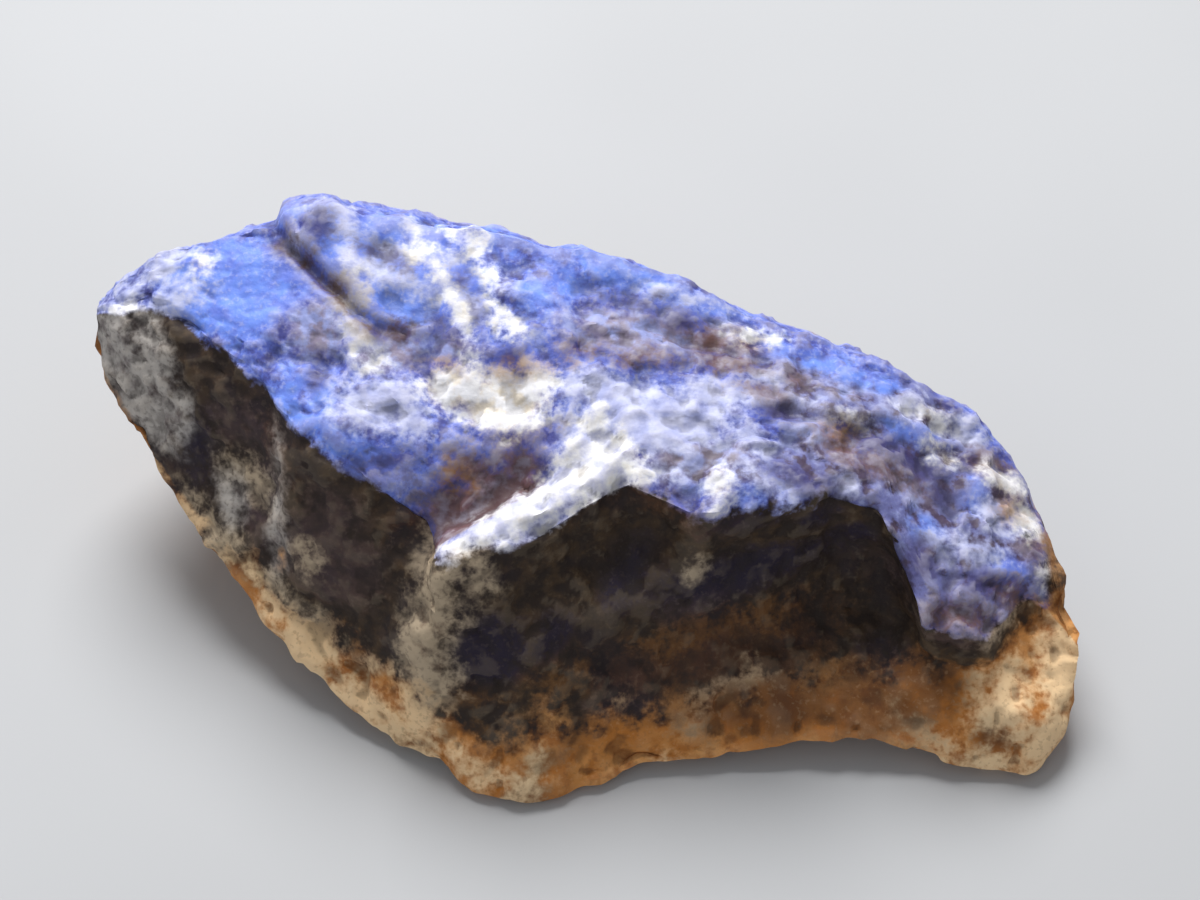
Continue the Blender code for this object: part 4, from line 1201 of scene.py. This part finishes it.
class StoneSettings(bpy.types.PropertyGroup):
    """The colours and the finish of the stone."""

    blue: colour_setting("Blue", "Ground colour of the top", 100, 122, 216)
    deep_blue: colour_setting("Deep blue", "Darker places of the top", 88, 98, 184)
    # bright also paints the highlight along the ridge
    bright: colour_setting("Bright blue", "The cleanest blue faces", 116, 150, 246)
    lilac: colour_setting("Lilac", "Pale blue haze over the top", 160, 168, 218)
    # pale also paints the sheen at the nose and the highlights of the top
    pale: colour_setting("Pale", "Whitish patches with a little blue", 214, 216, 242)
    white: colour_setting("White", "Calcite of the veins", 250, 248, 246)
    cream: colour_setting("Cream", "Yellowish calcite", 242, 230, 208)
    indigo: colour_setting("Indigo", "Darkest blue patches", 60, 52, 104)
    mauve: colour_setting("Mauve", "Greyish patches of the top", 146, 134, 150)
    # the brown of the notch's floor is partly painted shade of the recess
    brown: colour_setting("Brown", "Stains of the top and the notch", 110, 76, 66)
    ochre: colour_setting("Ochre", "Rusty spots", 166, 116, 46)
    front: colour_setting("Front", "Darkest brown of the front", 44, 31, 23)
    olive: colour_setting("Olive", "Greener brown of the front", 72, 54, 36)
    navy: colour_setting("Navy", "Dark blue of the front", 34, 26, 48)
    dusk: colour_setting("Dusk", "Greyish violet of the front", 84, 66, 70)
    umber: colour_setting("Umber", "Reddish brown of the front", 88, 54, 34)
    dull: colour_setting("Dull", "Brownish haze over the right of the top", 118, 118, 164)
    ash: colour_setting("Ash", "Pale grey of the nose and the left of the front", 212, 206, 200)
    ochre_front: colour_setting("Dull ochre", "Rusty places of the front", 132, 86, 34)
    # beige also paints the highlight on the rises
    beige: colour_setting("Beige", "Grey beige of the stripe and nose", 204, 184, 156)
    rind: colour_setting("Rind", "Ground colour of the rind", 226, 166, 102)
    rind_dark: colour_setting("Dark rind", "Darker places of the rind", 172, 110, 56)
    rind_orange: colour_setting("Orange rind", "Rusty places of the rind", 192, 120, 46)
    # pale rind also paints light onto the left of the rind
    rind_pale: colour_setting("Pale rind", "Bumps and the right foot", 255, 224, 178)
    # painted shade laid in the hollows of the stone
    hollow_shade: colour_setting("Hollow_shade", "What lies in the hollows", 40, 32, 30)
    gloss: number_setting(
        "Gloss", "How much light the surface mirrors", 0.35, max=1.0, subtype="FACTOR")
    bump: number_setting(
        "Grain height", "Height of the finest grain, given by shading", 0.00009, unit="LENGTH")


class StageSettings(bpy.types.PropertyGroup):
    """The floor, the light and the camera."""

    floor_radius: number_setting(
        "Floor radius", "Radius of the round floor", 3.0, unit="LENGTH")
    floor_colour: colour_setting("Floor", "Colour of the floor", 186, 187, 189)
    key_power: number_setting(
        "Key light", "Strength of the light behind the stone", 4.2, unit="POWER")
    fill_power: number_setting(
        "Fill light", "Strength of the light in front of the stone", 0.45, unit="POWER")
    air_light: number_setting(
        "Air light", "Strength of the light from all round", 0.30, subtype="FACTOR")
    camera_height: number_setting(
        "Camera angle", "How far the camera looks down", np.radians(50.0), subtype="ANGLE")
    camera_distance: number_setting(
        "Camera distance", "From the camera to the middle of the stone", 0.2, unit="LENGTH")


def new_object(name, mesh):
    made = bpy.data.objects.new(name, mesh)
    bpy.context.scene.collection.objects.link(made)
    return made


def area_light(name, power, size, place, target):
    light = bpy.data.lights.new(name, "AREA")
    light.energy = power
    light.shape = "DISK"
    light.size = size
    made = new_object(name, light)
    made.location = place
    made.rotation_euler = (Vector(target) - Vector(place)).to_track_quat("-Z", "Y").to_euler()
    return made


class BuildStone(bpy.types.Operator):
    """Make the finished skin of the stone over its solid"""

    bl_idname = "lapis.build_stone"
    bl_label = "Stone"

    def execute(self, context):
        place, mask = finished_skin()
        mesh = closed_mesh("stone_skin", place, mask)
        mesh.materials.append(lapis_material(context.scene.lapis_stone))
        skin = new_object("stone_skin", mesh)
        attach(skin, "root")
        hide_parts("lapis_stone")
        return {"FINISHED"}


class BuildStage(bpy.types.Operator):
    """Make the floor, the lights and the camera"""

    bl_idname = "lapis.build_stage"
    bl_label = "Stage"

    def execute(self, context):
        settings = context.scene.lapis_stage
        self.floor(settings)
        self.lights(settings)
        self.camera(settings)
        return {"FINISHED"}

    def floor(self, settings):
        """A disc: places round a circle joined to its middle."""
        turn = np.linspace(0.0, 2.0 * np.pi, FLOOR_SIDES, endpoint=False)
        ring = np.stack([np.cos(turn), np.sin(turn), 0.0 * turn], axis=-1)
        mesh = bpy.data.meshes.new("floor")
        mesh.from_pydata((ring * settings.floor_radius).tolist(), [], [list(range(FLOOR_SIDES))])
        mesh.materials.append(floor_material(settings))
        new_object("floor", mesh)

    def lights(self, settings):
        area_light("key_light", settings.key_power, *KEY_LIGHT)
        area_light("fill_light", settings.fill_power, *FILL_LIGHT)
        world = bpy.data.worlds.new("pale_air")
        world.use_nodes = True
        air = world.node_tree.nodes["Background"]
        air.inputs["Color"].default_value = rgba(AIR_COLOUR)
        air.inputs["Strength"].default_value = settings.air_light
        bpy.context.scene.world = world
        bpy.context.scene.view_settings.view_transform = "Standard"

    def camera(self, settings):
        """Behind the target by the distance, along the way it looks."""
        lens = bpy.data.cameras.new("camera")
        lens.lens = LENS
        lens.sensor_width = SENSOR
        lens.clip_start = CLIP_START
        made = new_object("camera", lens)
        down = settings.camera_height
        way = Vector((0.0, np.cos(down), -np.sin(down)))
        made.location = Vector(CAMERA_TARGET) - way * settings.camera_distance
        made.rotation_euler = way.to_track_quat("-Z", "Y").to_euler()
        bpy.context.scene.camera = made


class LapisPanel(bpy.types.Panel):
    """Lists the pieces in the order they are made"""

    bl_idname = "VIEW3D_PT_lapis"
    bl_label = "Lapis"
    bl_space_type = "VIEW_3D"
    bl_region_type = "UI"
    bl_category = "Lapis"

    def draw(self, context):
        for operator, settings in (
            (BuildStone, context.scene.lapis_stone), (BuildStage, context.scene.lapis_stage),
        ):
            box = self.layout.box()
            box.operator(operator.bl_idname)
            for name in settings.__annotations__:
                box.prop(settings, name)


CLASSES = (StoneSettings, StageSettings, BuildStone, BuildStage, LapisPanel)


def register():
    for made in CLASSES:
        bpy.utils.register_class(made)
    bpy.types.Scene.lapis_stone = bpy.props.PointerProperty(type=StoneSettings)
    bpy.types.Scene.lapis_stage = bpy.props.PointerProperty(type=StageSettings)


def unregister():
    del bpy.types.Scene.lapis_stage
    del bpy.types.Scene.lapis_stone
    for made in reversed(CLASSES):
        bpy.utils.unregister_class(made)


def main():
    register()
    bpy.ops.lapis.build_stone()
    bpy.ops.lapis.build_stage()


if __name__ == "__main__":
    main()
